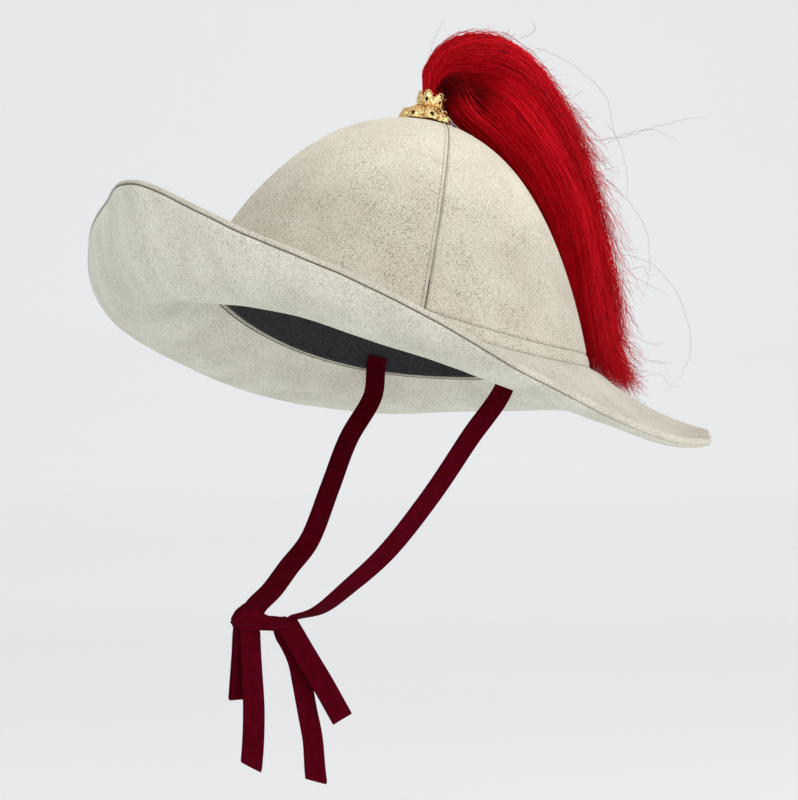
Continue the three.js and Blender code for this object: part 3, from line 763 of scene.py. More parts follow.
def petal_shell(place, rows, petals, phase, around, up, holes_at, hole_half):
    """Pierced, grained wall of petals from rows of radius, height, scallop and notch."""
    columns = list(zip(*rows))

    def shaped(u, v):
        turn = u * math.tau
        valley = valley_share(turn, petals, phase)
        radius, height, scallop, notch = (curve_value(column, v) for column in columns)
        radius -= scallop * valley
        height -= notch * valley
        near = noise.voronoi(place(radius, turn, height) * GOLD_GRAIN_PACE)[0][0]
        relief = GOLD_GRAIN * (GOLD_GRAIN_LEVEL - near) * min(1, 12 * v * (1 - v))
        return place(radius + relief, turn, height + 0.4 * relief)

    bm = laid_grid(around, up, shaped)
    chart = bm.loops.layers.uv["UVMap"]
    opened = []
    for face in bm.faces:
        u, v = (sum(loop[chart].uv[axis] for loop in face.loops) / len(face.loops) for axis in (0, 1))
        swing = ((u * math.tau - phase) * petals / math.tau + 0.5) % 1 - 0.5
        wide = swing * math.tau / petals * curve_value(columns[0], v)
        if math.hypot(wide, curve_value(columns[1], v) - holes_at) < hole_half:
            opened.append(face)
    bmesh.ops.delete(bm, geom=opened, context="FACES")
    thicken(bm, place(0, 0, CAP_HEIGHT), METAL)
    return bm


def finial(paint):
    """Petalled cap and cup of pierced gold, with grains along their rims and ribs in the cap's valleys."""
    cap = petal_shell(
        finial_point,
        [
            (CAP_RADIUS, 0.0, 2 * CAP_SCALLOP, 0),
            (CAP_RADIUS * 0.99, CAP_HEIGHT * 0.3, 1.8 * CAP_SCALLOP, 0),
            (CAP_RADIUS * 0.94, CAP_HEIGHT * 0.55, 1.5 * CAP_SCALLOP, 0.0004),
            (CAP_RADIUS * 0.8, CAP_HEIGHT * 0.88, CAP_SCALLOP, 0.0006),
            (CAP_RADIUS * 0.5, CAP_HEIGHT * 0.98, 0.3 * CAP_SCALLOP, 0.0003),
            (CUP_WAIST, CAP_HEIGHT, 0, 0),
        ],
        CAP_PETALS, CAP_PHASE, CAP_AROUND, CAP_UP, CAP_HEIGHT * 0.36, CAP_HOLE,
    )
    cup = petal_shell(
        cup_point,
        [
            (CUP_WAIST, CUP_FOOT + 0.0003, 0, 0),
            (CUP_RADIUS * 0.85, CUP_FOOT + CUP_HEIGHT * 0.22, 0.5 * CUP_FLARE, 0),
            (CUP_RADIUS, CUP_FOOT + CUP_HEIGHT * 0.5, CUP_FLARE, 0.0004),
            (CUP_RADIUS * 1.02, CUP_FOOT + CUP_HEIGHT * 0.77, 1.3 * CUP_FLARE, 0.0014),
            (CUP_RADIUS * 0.97, CUP_FOOT + CUP_HEIGHT, 1.5 * CUP_FLARE, CUP_NOTCH),
        ],
        CUP_PETALS, CUP_PHASE, CUP_AROUND, CUP_UP, CUP_FOOT + CUP_HEIGHT * 0.5, CUP_HOLE,
    )
    cup_mesh = mesh_of("finial_cup", cup)
    cap.from_mesh(cup_mesh)
    bpy.data.meshes.remove(cup_mesh)
    rim_grains(cap)
    cap_ribs(cap)
    finish_piece("gold_finial", cap, paint, ["finial"])


def rim_grains(bm):
    """Rows of small round grains along the rims: radius, height, count, size, scallop, notch and part."""
    cap, cup = (finial_point, CAP_PETALS, CAP_PHASE), (cup_point, CUP_PETALS, CUP_PHASE)
    rows = [
        (CAP_RADIUS - 0.0004, 0.0005, 48, 0.0007, 2 * CAP_SCALLOP, 0, cap),
        (CAP_RADIUS * 0.84, CAP_HEIGHT * 0.84, 32, 0.0008, CAP_SCALLOP, 0.0006, cap),
        (CUP_WAIST + 0.0014, CAP_HEIGHT, 18, 0.0008, 0, 0, cap),
        (CUP_RADIUS * 0.97, CUP_FOOT + CUP_HEIGHT, 36, 0.00065, 1.5 * CUP_FLARE, CUP_NOTCH, cup),
        (CUP_RADIUS * 0.92, CUP_FOOT + CUP_HEIGHT * 0.27, 24, 0.00075, 0.5 * CUP_FLARE, 0, cup),
    ]
    for radius, height, count, size, scallop, notch, (place, petals, phase) in rows:
        for k in range(count):
            turn = k / count * math.tau + phase
            valley = valley_share(turn, petals, phase)
            spot = place(radius - scallop * valley, turn, height - notch * valley)
            bmesh.ops.create_icosphere(bm, subdivisions=1, radius=size, matrix=Matrix.Translation(spot))


def cap_ribs(bm):
    """Three short upright ribs in each valley of the cap."""
    for valley in range(CAP_PETALS):
        for side in (-1, 0, 1):
            turn = CAP_PHASE + (valley + 0.5) / CAP_PETALS * math.tau + side * RIB_APART
            low = finial_point(CAP_RADIUS - 0.0014, turn, 0.0008)
            high = finial_point(CAP_RADIUS * 0.82, turn, CAP_HEIGHT * 0.78)
            lay_thread(bm, low, high, low - finial_point(0, 0, 0), RIB_THICK)


# Plume

PlumeFrame = namedtuple("PlumeFrame", "x z out_x out_z thick wide")


@lru_cache(maxsize=None)
def plume_columns():
    """Finely stepped middle line, thickness and width of the plume."""
    return np.linspace(0, 1, PLUME_FINE_STEPS), curve_points(PLUME_STATIONS, PLUME_FINE_STEPS).T


def plume_frame(share):
    """Middle, outward direction, half thickness and half width of the plume at shares of its run."""
    fine, columns = plume_columns()
    x, z, thick, wide = (np.interp(share, fine, column) for column in columns)
    slope_x, slope_z = (np.interp(share, fine, np.gradient(column, fine)) for column in columns[:2])
    past = np.maximum(share - 1, 0)
    size = np.hypot(slope_x, slope_z)
    return PlumeFrame(
        x + slope_x * past, z + slope_z * past, -slope_z / size, slope_x / size, thick / 2, wide / 2
    )


def in_plume(at, out, aside):
    """Places out from the plume's middle line and aside from the hat's middle plane."""
    return np.stack([at.x + at.out_x * out, aside, at.z + at.out_z * out], axis=-1)


def plume_core(paint):
    """Solid heart of the plume that the loose hairs lie over."""
    share = np.linspace(0.02, 0.89, CORE_STEPS + 1)[:, None]
    turn = np.linspace(0, math.tau, CORE_AROUND + 1)[None, :]
    at = plume_frame(share)
    past = np.maximum((share - CORE_TAPER_FROM) / CORE_TAPER_RUN, 0)
    fill = CORE_FILL * np.sqrt(np.maximum(1 - past ** 2, 0))
    dent = 1 - DENT_DEEP * bell(share, DENT_AT, DENT_RUN)
    skin = in_plume(at, np.sin(turn) * at.thick * fill, np.cos(turn) * at.wide * fill * dent)

    def place(u, v):
        return skin[round(v * CORE_STEPS), round(u * CORE_AROUND)]

    bm = laid_grid(CORE_AROUND, CORE_STEPS, place)
    close_ends(bm)
    finish_piece("plume_core", bm, paint)


def clear_of_crown(points):
    """Keeps hair just outside the crown's felt."""
    tilt = np.array(WORN_TILT)
    local = points @ tilt
    lift = rising(local[..., 2], SEAM_SWAY, CROWN_HEIGHT - SEAM_SWAY)
    long, wide = local[..., 0] / HALF_LONG, local[..., 1] / HALF_WIDE
    out = np.hypot(long, wide)
    least = dome_spread(np.arctan2(wide, -long), lift) + HAIR_CLEAR / HALF_LONG
    push = np.where((lift < 1) & (out < least), least / np.maximum(out, 0.05), 1)
    local[..., :2] *= push[..., None]
    return local @ tilt.T


@lru_cache(maxsize=None)
def back_brim_lines():
    """Lines of the brim's upper face, from the crown outwards, at turns across the back."""
    turns = [math.pi + math.radians(degrees) for degrees in BACK_BRIM_DEGREES]
    sections = [BrimSection(turn if turn < math.pi else turn - math.tau) for turn in turns]
    shares = [k / BACK_BRIM_STEPS for k in range(BACK_BRIM_STEPS + 1)]
    return [np.array([section.at(share, LAYER_FAR) for share in shares]) for section in sections]


def over_brim(points):
    """Height of hair over the brim's back."""
    x, y = points[..., 0], points[..., 1]
    across, level = [], []
    for line in back_brim_lines():
        across.append(np.interp(x, line[:, 0], line[:, 1]))
        level.append(np.interp(x, line[:, 0], line[:, 2], left=-1.0))
    height = np.where(y < across[0], level[0], level[-1])
    for k in range(len(across) - 1):
        part = (y - across[k]) / np.maximum(across[k + 1] - across[k], 1e-6)
        between = (part >= 0) & (part <= 1)
        height = np.where(between, level[k] + (level[k + 1] - level[k]) * np.clip(part, 0, 1), height)
    return points[..., 2] - height


def hair_piece(name, paths, thick, tones, paint, nodes=()):
    """Closed three-sided hairs, kept off crown and brim, that taper to their tips and carry a tone, which for
    the plume's hairs and the under wisps also holds painted shade and light.
    """
    paths = clear_of_crown(paths)
    paths[..., 2] += np.maximum(HAIR_CLEAR - over_brim(paths), 0)
    count, steps, _ = paths.shape
    along = np.gradient(paths, axis=1)
    along /= np.linalg.norm(along, axis=2, keepdims=True) + 1e-12
    side = np.cross(along, STRAND_SIDE)
    side /= np.linalg.norm(side, axis=2, keepdims=True) + 1e-12
    up = np.cross(along, side)
    taper = np.interp(np.linspace(0, 1, steps), *STRAND_TAPER)
    radius = (np.broadcast_to(thick, count)[:, None] / 2 * taper[None, :])[..., None]
    rings = []
    for k in range(3):
        turn = k / 3 * math.tau
        rings.append(paths + radius * (math.cos(turn) * side + math.sin(turn) * up))
    points = np.stack(rings, axis=2).reshape(-1, 3)
    starts = np.arange(count) * steps * 3
    base = starts[:, None] + (np.arange(steps - 1) * 3)[None, :]
    quads = np.array([[k, (k + 1) % 3, (k + 1) % 3 + 3, k + 3] for k in range(3)])
    sides = (base[..., None, None] + quads).reshape(-1, 4)
    roots = starts[:, None] + np.array([2, 1, 0])
    tips = starts[:, None] + (steps - 1) * 3 + np.array([0, 1, 2])
    mesh = bpy.data.meshes.new(name)
    mesh.from_pydata(points.tolist(), [], sides.tolist() + roots.tolist() + tips.tolist())
    tone = mesh.attributes.new("tone", "FLOAT", "POINT")
    tones = np.broadcast_to(tones, (count, steps))
    tone.data.foreach_set("value", np.repeat(tones.ravel(), 3).astype(np.float32))
    place_mesh(name, mesh, paint, nodes)


def resample(paths, stop):
    """Cuts each path at its own share of the steps and spaces it again, closest where the hair arches."""
    last = paths.shape[1] - 1
    spot = np.linspace(0, 1, HAIR_STEPS)[None, :] ** HAIR_STEP_PACE * (stop * last)[:, None]
    low = np.minimum(spot.astype(int), last - 1)
    rows = np.arange(paths.shape[0])[:, None]
    part = (spot - low)[..., None]
    return paths[rows, low] * (1 - part) + paths[rows, low + 1] * part


def painted_hair_shade(share, out):
    """Painted shade on the hair in the hollow of the arch, beneath the fall and on the crest, and painted
    light that makes the end paler.
    """
    def along(shading, curve):
        strength, at, run = shading
        return strength * curve(share, at, run)

    inner = 1 / (1 + np.exp((out - 0.02) / 0.12))
    hollow = along(HOLLOW_PAINTED_SHADE, bell) * inner
    under = along(UNDER_PAINTED_SHADE, rising) * rising(-out, 0.25, 0.5)
    crest = along(CREST_PAINTED_SHADE, bell) * np.clip(out, 0, 1)
    return np.clip(np.maximum(hollow, under) + crest, 0, DARKEST_PAINTED_SHADE) - along(END_PAINTED_LIGHT, rising)


def plume_hair(number, paint):
    """Hairs in locks that follow the arch, thin out along the back and drop to a ragged end on the brim."""
    rng = np.random.default_rng(HAIR_SEED + number)
    locks = np.random.default_rng(LOCK_SEED)
    each = (HAIR_STRANDS, 1)
    lock_turn = locks.uniform(0, math.tau, HAIR_LOCKS)
    lock_out = np.sqrt(locks.uniform(0.4, 1.0, HAIR_LOCKS))
    bands = 0.10 * np.sin(3 * lock_turn + 1.3) + 0.08 * np.sin(7 * lock_turn + 0.4)
    lock_tone = 0.5 + bands + locks.normal(0, LOCK_TONE_SPREAD, HAIR_LOCKS)
    lock_wave = locks.uniform(0, math.tau, (2, HAIR_LOCKS))
    lock_stop = locks.uniform(0, LOCK_STOP, HAIR_LOCKS)
    pick = rng.integers(0, HAIR_LOCKS, HAIR_STRANDS)

    share = np.linspace(0, 1 + HAIR_PAST, HAIR_FINE_STEPS)[None, :]
    loose = 0.35 + 0.65 * share
    stray = (rng.random(HAIR_STRANDS) < STRAY_SHARE)[:, None]
    swing = np.where(stray, STRAY_SWING, HAIR_SWING)
    ways = []
    for axis, centre in enumerate((np.cos(lock_turn), np.sin(lock_turn))):
        wave = rng.uniform(0, math.tau, each)
        pace = rng.uniform(*HAIR_WAVE_PACE, each)
        ways.append(
            (lock_out * centre)[pick][:, None]
            + rng.normal(0, HAIR_SPREAD, each)
            + LOCK_SWAY * loose * np.sin(share * LOCK_SWAY_PACE + lock_wave[axis][pick][:, None])
            + swing * loose * np.sin(share * pace + wave)
        )
    out, aside = ways
    past = np.maximum(share - END_FLARE_FROM, 0) / END_FLARE_RUN
    out = out + END_FLARE * rng.uniform(0, 1, each) * past
    size = np.maximum(np.hypot(out, aside), 1e-6)
    limit = np.minimum(size, np.where(stray, STRAY_LIMIT, 1.0)) / size
    out, aside = out * limit, aside * limit
    aside = aside * (1 - DENT_DEEP * bell(share, DENT_AT, DENT_RUN) * bell(out, -0.1, 0.3))
    at = plume_frame(share)
    paths = in_plume(at, out * at.thick, aside * at.wide)

    rest = (lock_stop[pick] + rng.exponential(END_RAGGED, HAIR_STRANDS))[:, None]
    stop = np.where(over_brim(paths) < rest, share, 1 + HAIR_PAST).min(axis=1) / (1 + HAIR_PAST)
    short = rng.random(HAIR_STRANDS) < np.where(out[:, SHORT_STEP] > 0.55, 0.6, 0.2)
    stop = np.where(short, stop * rng.uniform(*SHORT_CUT, HAIR_STRANDS), stop)

    thickness = HAIR_THICK * rng.uniform(*HAIR_FINENESS, HAIR_STRANDS)
    tones = np.clip(lock_tone[pick] + rng.normal(0, HAIR_TONE_SPREAD, HAIR_STRANDS), 0, 1)[:, None]
    # Painted shade and light, multiplied into each hair's own tone
    shade = 1 - resample(painted_hair_shade(share, out)[..., None], stop)[..., 0]
    hair_piece(
        f"plume_hair_{number}", resample(paths, stop), thickness, np.clip(tones * shade, 0, 1), paint,
        ["plume"] if number == 0 else [],
    )


def plume_fray(paint):
    """Thin wavy hairs along the back of the plume and at its end, with daylight between them."""
    rng = np.random.default_rng(FRAY_SEED)
    each = (FRAY_HAIRS, 1)
    t = np.linspace(0, 1, HAIR_STEPS)[None, :]
    run = rng.uniform(*FRAY_RUN, each)
    at = plume_frame(rng.uniform(*FRAY_FROM, each) + run * t)
    turn = rng.normal(-0.2, 0.7, each)
    spring = rng.uniform(*FRAY_SPRING, each) + 0.45 * (rng.random(each) < 0.22)
    reach = rng.uniform(*FRAY_REACH, each) + spring * t
    waves = t * run * 0.3 / rng.uniform(*FRAY_WAVE_LONG, each) * math.tau
    deep = rng.uniform(*FRAY_WAVE_DEEP, each) * np.minimum(1, 5 * t)
    out = reach * np.cos(turn) * at.thick + deep * np.sin(waves + rng.uniform(0, 6, each))
    aside = reach * np.sin(turn) * at.wide + deep * np.sin(waves * 0.8 + rng.uniform(0, 6, each))
    thickness = FLYAWAY_THICK * rng.uniform(*FRAY_FINENESS, FRAY_HAIRS)
    tones = rng.uniform(*FRAY_TONES, each)
    hair_piece("plume_fray", in_plume(at, out, aside), thickness, tones, paint)


def plume_under_wisps(paint):
    """Hairs that leave the cup low and fall along the crown under the arch, lit below the hollow."""
    rng = np.random.default_rng(WISP_SEED)
    each = (UNDER_WISPS, 1)
    run = curve_points(UNDER_WISP_RUN, HAIR_STEPS)[None, ...]
    t = np.linspace(0, 1, HAIR_STEPS)[None, :]
    grow = 0.25 + 0.75 * np.minimum(1, 3 * t)
    x = run[..., 0] + rng.normal(0, 0.0022, each) * grow
    z = run[..., 1] + rng.normal(0.001, 0.0020, each) * grow
    wave = WISP_WAVE * np.sin(t * rng.uniform(8, 20, each) + rng.uniform(0, 6, each))
    y = rng.normal(-0.002, 0.0075, each) * grow + wave
    thickness = HAIR_THICK * rng.uniform(*WISP_FINENESS, UNDER_WISPS)
    # Painted shade near the cup and painted light below it, multiplied into each wisp's tone
    tones = rng.uniform(*WISP_TONES, each) * np.interp(t, *WISP_LIT)
    hair_piece("plume_under_wisps", np.stack([x, y, z + wave], axis=-1), thickness, tones, paint)


def plume_flyaways(paint):
    """Short kinked hairs that lift off the outside of the plume."""
    rng = np.random.default_rng(FLYAWAY_SEED)
    each = (FLYAWAYS, 1, 1)
    begin = FLYAWAY_FROM + 0.89 * rng.random(FLYAWAYS) ** 0.75
    at = plume_frame(begin)
    turn = rng.normal(0, 0.65, FLYAWAYS)
    out, side = np.cos(turn), np.sin(turn)
    start = in_plume(at, out * at.thick, side * at.wide)
    flow = np.stack([at.out_z, np.zeros(FLYAWAYS), -at.out_x], axis=-1)
    away = np.stack([at.out_x * out, side, at.out_z * out], axis=-1)
    lift = rng.uniform(*FLYAWAY_LIFT, (FLYAWAYS, 1))
    way = flow * np.cos(lift) + away * np.sin(lift)
    across = np.cross(way, FLYAWAY_SIDE)
    reach = rng.uniform(*FLYAWAY_REACH, FLYAWAYS)
    reach[(rng.random(FLYAWAYS) < 0.14) & (begin > 0.5)] *= 2.2
    reach *= np.interp(begin, [FLYAWAY_FROM, 0.35, 0.6], [0.5, 0.6, 1.0])
    t = np.linspace(0, 1, FLYAWAY_STEPS)[None, :, None]
    kink = FLYAWAY_KINK * np.sin(t * rng.uniform(9, 20, each) + rng.uniform(0, 6, each))
    bow = rng.normal(0, 0.25, each) * t * t
    run = way[:, None, :] * t + across[:, None, :] * (kink * np.minimum(1, 4 * t) + bow)
    thickness = FLYAWAY_THICK * rng.uniform(*FLYAWAY_FINENESS, FLYAWAYS)
    tones = rng.uniform(*FLYAWAY_TONES, (FLYAWAYS, 1))
    paths = start[:, None, :] + run * reach[:, None, None]
    hair_piece("plume_flyaways", paths, thickness, tones, paint)


def plume_long_hairs(paint):
    """A few long single hairs that stand well away from the plume."""
    rng = np.random.default_rng(LONG_HAIR_SEED)
    paths = []
    for spots in LONG_HAIRS:
        spots = [spot if len(spot) == 3 else (spot[0], LONG_HAIR_ASIDE, spot[1]) for spot in spots]
        shiver = rng.normal(0, LONG_HAIR_SHIVER, (LONG_HAIR_STEPS, 3))
        shiver[0] = 0
        paths.append(curve_points(spots, LONG_HAIR_STEPS) + shiver)
    hair_piece("plume_long_hairs", np.array(paths), FLYAWAY_THICK, LONG_HAIR_TONE, paint)


# Ribbon

def spline_point(p0, p1, p2, p3, t):
    """Curve between p1 and p2 whose pace follows the square root of each span."""
    d0, d1, d2 = (max((b - a).length ** 0.5, 1e-6) for a, b in ((p0, p1), (p1, p2), (p2, p3)))
    m1 = ((p1 - p0) / d0 - (p2 - p0) / (d0 + d1) + (p2 - p1) / d1) * d1
    m2 = ((p2 - p1) / d1 - (p3 - p1) / (d1 + d2) + (p3 - p2) / d2) * d1
    return (
        p1 + m1 * t + (3 * (p2 - p1) - 2 * m1 - m2) * t * t + (2 * (p1 - p2) + m1 + m2) * t * t * t
    )


def ribbon_path(rows, steps, side=1):
    """Evenly spaced stations along a ribbon's rows, as places and outer faces."""
    rows = [RibbonRow(*row) for row in rows]
    points = [Vector((row.x, row.y * side, row.z)) for row in rows]
    points = [2 * points[0] - points[1], *points, 2 * points[-1] - points[-2]]
    stations = []
    for k in range(steps + 1):
        spot = k / steps * (len(rows) - 1)
        at = min(int(spot), len(rows) - 2)
        t = spot - at
        place = spline_point(*points[at:at + 4], t)
        lean = math.radians(rows[at].lean + (rows[at + 1].lean - rows[at].lean) * t)
        turn = math.radians(rows[at].turn + (rows[at + 1].turn - rows[at].turn) * t)
        face = Matrix.Rotation(lean, 3, (side, 0, 0)) @ Vector((0, -side, 0))
        face = Matrix.Rotation(turn, 3, (0, 0, side)) @ face
        stations.append((place, face))
    return stations


def ribbon_piece(node, stations, paint, slant=0.0, width=lambda share: 1.0):
    """Woven ribbon with a slightly thicker edge along both sides, gathered where its width says."""
    count = len(RIBBON_EDGE)
    outlines = []
    last = len(stations) - 1
    for k, (place, face) in enumerate(stations):
        along = (stations[min(k + 1, last)][0] - stations[max(k - 1, 0)][0]).normalized()
        across = along.cross(face).normalized()
        out = across.cross(along)
        trim = slant * max(0.0, (k / last - TAIL_CUT_FROM) / (1 - TAIL_CUT_FROM))
        share = width(k / last)
        cup = RIBBON_WIDE * 0.5 * (1 - share)
        outlines.append([
            place
            + across * w * share * RIBBON_WIDE
            + out * (h * RIBBON_THICK + cup * (0.5 - 4 * w * w))
            + along * (2 * w * trim)
            for w, h in RIBBON_EDGE
        ])

    bm = laid_grid(count, last, lambda u, v: outlines[round(v * last)][round(u * count) % count])
    close_ends(bm)
    return finish_piece(f"{node}_woven", bm, paint, [node])


def bow_width(share):
    """Gathered where a bow piece leaves the knot, and full a little below."""
    return BOW_GATHER + (1 - BOW_GATHER) * min(1, share / BOW_GATHER_SHARE) ** 0.7


def tail_width(share):
    """As bow_width, with the cut corners a little rounded."""
    past = max(0, (share - TAIL_ROUND_FROM) / (1 - TAIL_ROUND_FROM))
    return bow_width(share) * (1 - TAIL_ROUND * past ** 2)


def run_length(stations):
    return sum((b[0] - a[0]).length for a, b in zip(stations, stations[1:]))


def chin_ribbon(node, side, paint):
    """One run of the tie, from its sewn end inside the sweatband down to the knot."""
    sewn = [
        (*dome_point(-SEWN_TURN, climb, SEWN_INSET), lean, turn) for climb, lean, turn in SEWN_END
    ]
    end = CHIN_END_LEFT if side > 0 else CHIN_END_RIGHT
    stations = ribbon_path(sewn + CHIN_RUN + end, CHIN_STEPS, side)
    piece = ribbon_piece(node, stations, paint)
    run_length(stations)


def bow_tail(node, rows, paint):
    stations = ribbon_path(rows, TAIL_STEPS)
    piece = ribbon_piece(node, stations, paint, TAIL_SLANT, tail_width)
    run_length(stations)


def bow_loop(node, rows, paint):
    """Folded loop: down on the near layer, round the fold, and back up on the far layer."""
    down = ribbon_path(rows, LOOP_STEPS)
    near = [(place + face * LOOP_PART / 2, face) for place, face in down]
    far = [(place - face * LOOP_PART / 2, -face) for place, face in down]
    end, face = down[-1]
    along = (end - down[-2][0]).normalized()
    fold = []
    for degrees in range(15, 180, 15):
        swing = math.radians(degrees)
        out = face * math.cos(swing) + along * math.sin(swing)
        fold.append((end + out * LOOP_PART / 2, out))
    stations = near + fold + far[::-1]
    piece = ribbon_piece(node, stations, paint)
    run_length(stations)


def bow_knot(paint):
    """Ribbon wrapped round as a soft sleeve, open above and below for what passes through it."""
    def bulge(value, power):
        return math.copysign(abs(value) ** power, value)

    def place(u, v):
        turn = u * math.tau
        fold = KNOT_FOLD * math.sin(14 * v + 3 * math.sin(turn * 2 + 1) + 5 * math.cos(turn))
        full = KNOT_FULL * math.sin(math.pi * v) + fold
        x = KNOT_MIDDLE.x + bulge(math.cos(turn), 0.5) * (KNOT_HALF_LONG + full)
        y = bulge(math.sin(turn), 0.6) * (KNOT_HALF_DEEP + full)
        top, bottom = (float(np.interp(x, KNOT_X, edge)) for edge in (KNOT_TOP, KNOT_BOTTOM))
        uneven = KNOT_UNEVEN * noise.noise(Vector((x, y, 0)) * KNOT_UNEVEN_PACE)
        return Vector((x, y, bottom + (top - bottom) * v + uneven))

    bm = laid_grid(KNOT_AROUND, KNOT_ROWS_UP, place)
    thicken(bm, KNOT_MIDDLE, RIBBON_THICK)
    piece = finish_piece("bow_knot_wrap", bm, paint, ["bow_knot"])


# Finishes

def new_paint(name, colour, roughness, shine=0.5):
    paint = bpy.data.materials.new(name)
    paint.use_nodes = True
    shader = paint.node_tree.nodes["Principled BSDF"]
    shader.inputs["Base Color"].default_value = colour
    shader.inputs["Roughness"].default_value = roughness
    shader.inputs["Specular IOR Level"].default_value = shine
    return paint, shader


def add_node(paint, kind, **values):
    """New shader node; each value sets the input of that name, with spaces for underscores."""
    node = paint.node_tree.nodes.new(kind)
    for socket, value in values.items():
        node.inputs[socket.replace("_", " ")].default_value = value
    return node


def add_noise(paint, scale, detail=2.0, distortion=0.0, stretch=(1, 1, 1), source="Object"):
    where = add_node(paint, "ShaderNodeTexCoord")
    mapping = add_node(paint, "ShaderNodeMapping", Scale=stretch)
    texture = add_node(paint, "ShaderNodeTexNoise", Scale=scale, Detail=detail, Distortion=distortion)
    paint.node_tree.links.new(where.outputs[source], mapping.inputs["Vector"])
    paint.node_tree.links.new(mapping.outputs["Vector"], texture.inputs["Vector"])
    return texture.outputs["Fac"]


def add_ramp(paint, source, stops):
    ramp = add_node(paint, "ShaderNodeValToRGB")
    ramp.color_ramp.elements[0].position, ramp.color_ramp.elements[0].color = stops[0]
    ramp.color_ramp.elements[1].position, ramp.color_ramp.elements[1].color = stops[-1]
    for place, colour in stops[1:-1]:
        ramp.color_ramp.elements.new(place).color = colour
    paint.node_tree.links.new(source, ramp.inputs["Fac"])
    return ramp.outputs["Color"]


def mix_colours(paint, share, first, second, blend="MIX"):
    mix = add_node(paint, "ShaderNodeMix")
    mix.data_type = "RGBA"
    mix.blend_type = blend
    for socket, value in ((mix.inputs[0], share), (mix.inputs[6], first), (mix.inputs[7], second)):
        if isinstance(value, bpy.types.NodeSocket):
            paint.node_tree.links.new(value, socket)
        else:
            socket.default_value = value
    return mix.outputs[2]


def shaded(paint, colour, shade):
    """Colour multiplied by a shade."""
    return mix_colours(paint, 1.0, colour, shade, "MULTIPLY")


def add_bump(paint, shader, source, strength, distance):
    bump = add_node(paint, "ShaderNodeBump", Strength=strength, Distance=distance)
    paint.node_tree.links.new(source, bump.inputs["Height"])
    paint.node_tree.links.new(bump.outputs["Normal"], shader.inputs["Normal"])


def add_height(paint, low, high, at_low, at_high):
    """Value from at_low to at_high between two levels of the hat, measured square to its opening."""
    where = add_node(paint, "ShaderNodeTexCoord")
    mapping = add_node(paint, "ShaderNodeMapping", Rotation=(0, -WORN_PITCH, 0))
    split = add_node(paint, "ShaderNodeSeparateXYZ")
    spread = add_node(
        paint, "ShaderNodeMapRange", From_Min=low, From_Max=high, To_Min=at_low, To_Max=at_high
    )
    links = paint.node_tree.links
    links.new(where.outputs["Object"], mapping.inputs["Vector"])
    links.new(mapping.outputs["Vector"], split.inputs["Vector"])
    links.new(split.outputs["Z"], spread.inputs["Value"])
    return spread.outputs["Result"]


def grey(value):
    return (value, value, value, 1)


def grey_noise(paint, noise_values, low, high):
    """Grey pattern whose noise goes from one value at a low level to another at a high one."""
    (low_level, low_value), (high_level, high_value) = low, high
    stops = [(low_level, grey(low_value)), (high_level, grey(high_value))]
    return add_ramp(paint, add_noise(paint, *noise_values), stops)


def wool_felt(name):
    """Oatmeal wool felt: cloudy ground, salt and pepper grain, grey flecks, brown fibres and a short nap, and
    for the crown painted shade that darkens it towards the foot.
    """
    pale, deep, fleck, fleck_share, grain, top_share, low_painted_shade = FELTS[name]
    paint, shader = new_paint(name, pale, 0.95, 0.08)
    shader.inputs["Sheen Weight"].default_value = 0.12
    shader.inputs["Sheen Roughness"].default_value = 0.6
    wool = add_ramp(paint, add_noise(paint, *FELT_CLOUDS), [(0.36, deep), (0.64, pale)])
    wool = shaded(paint, wool, grey_noise(paint, FELT_SPECKLE, (0.36, 1 - grain), (0.62, 1)))
    pepper = grey_noise(paint, FELT_PEPPER, (0.50, 0), (0.66, fleck_share))
    pepper = shaded(paint, pepper, grey_noise(paint, PEPPER_CLOUDS, (0.36, 0.5), (0.62, 1)))
    if top_share < 1:
        pepper = shaded(paint, pepper, add_height(paint, 0.062, 0.108, 1.0, top_share))
    wool = mix_colours(paint, pepper, wool, fleck)
    fibres = grey_noise(paint, FELT_FIBRES, (0.62, 0), (0.76, 0.7))
    wool = mix_colours(paint, fibres, wool, FIBRE_BROWN)
    # Painted shade: the felt is darkened towards the crown's foot, as if less light reached it there
    if low_painted_shade < 1:
        height = add_height(paint, 0.0, CROWN_HEIGHT, 0.0, 1.0)
        middle_painted_shade = (1 + low_painted_shade) / 2
        stops = [(0.38, grey(low_painted_shade)), (0.58, grey(middle_painted_shade)), (0.78, grey(1))]
        wool = shaded(paint, wool, add_ramp(paint, height, stops))
    paint.node_tree.links.new(wool, shader.inputs["Base Color"])
    add_bump(paint, shader, add_noise(paint, *FELT_NAP), 0.5, 0.0004)
    return paint


def sewing_thread(name):
    paint, shader = new_paint(name, THREADS[name], 0.8)
    add_bump(paint, shader, add_noise(paint, 2600, 2), 0.3, 0.0002)
    return paint


def dyed_paint(paint, shader, source, stops):
    """Lays a ramp of colours over a finish."""
    paint.node_tree.links.new(add_ramp(paint, source, stops), shader.inputs["Base Color"])
    return paint


def dark_band():
    paint, shader = new_paint("dark_band", (0.018, 0.018, 0.022, 1), 0.85)
    add_bump(paint, shader, add_noise(paint, 1500, 2), 0.3, 0.0003)
    weave = [(0.35, (0.012, 0.012, 0.015, 1)), (0.7, (0.035, 0.035, 0.04, 1))]
    return dyed_paint(paint, shader, add_noise(paint, 900, 2), weave)


def gold_metal():
    paint, shader = new_paint("gold_metal", (0.92, 0.70, 0.28, 1), 0.2)
    shader.inputs["Metallic"].default_value = 1.0
    add_bump(paint, shader, add_noise(paint, 1700, 2), 0.35, 0.0003)
    gold = [(0.3, (0.50, 0.27, 0.075, 1)), (0.6, (0.86, 0.64, 0.30, 1))]
    return dyed_paint(paint, shader, add_noise(paint, 600, 3), gold)


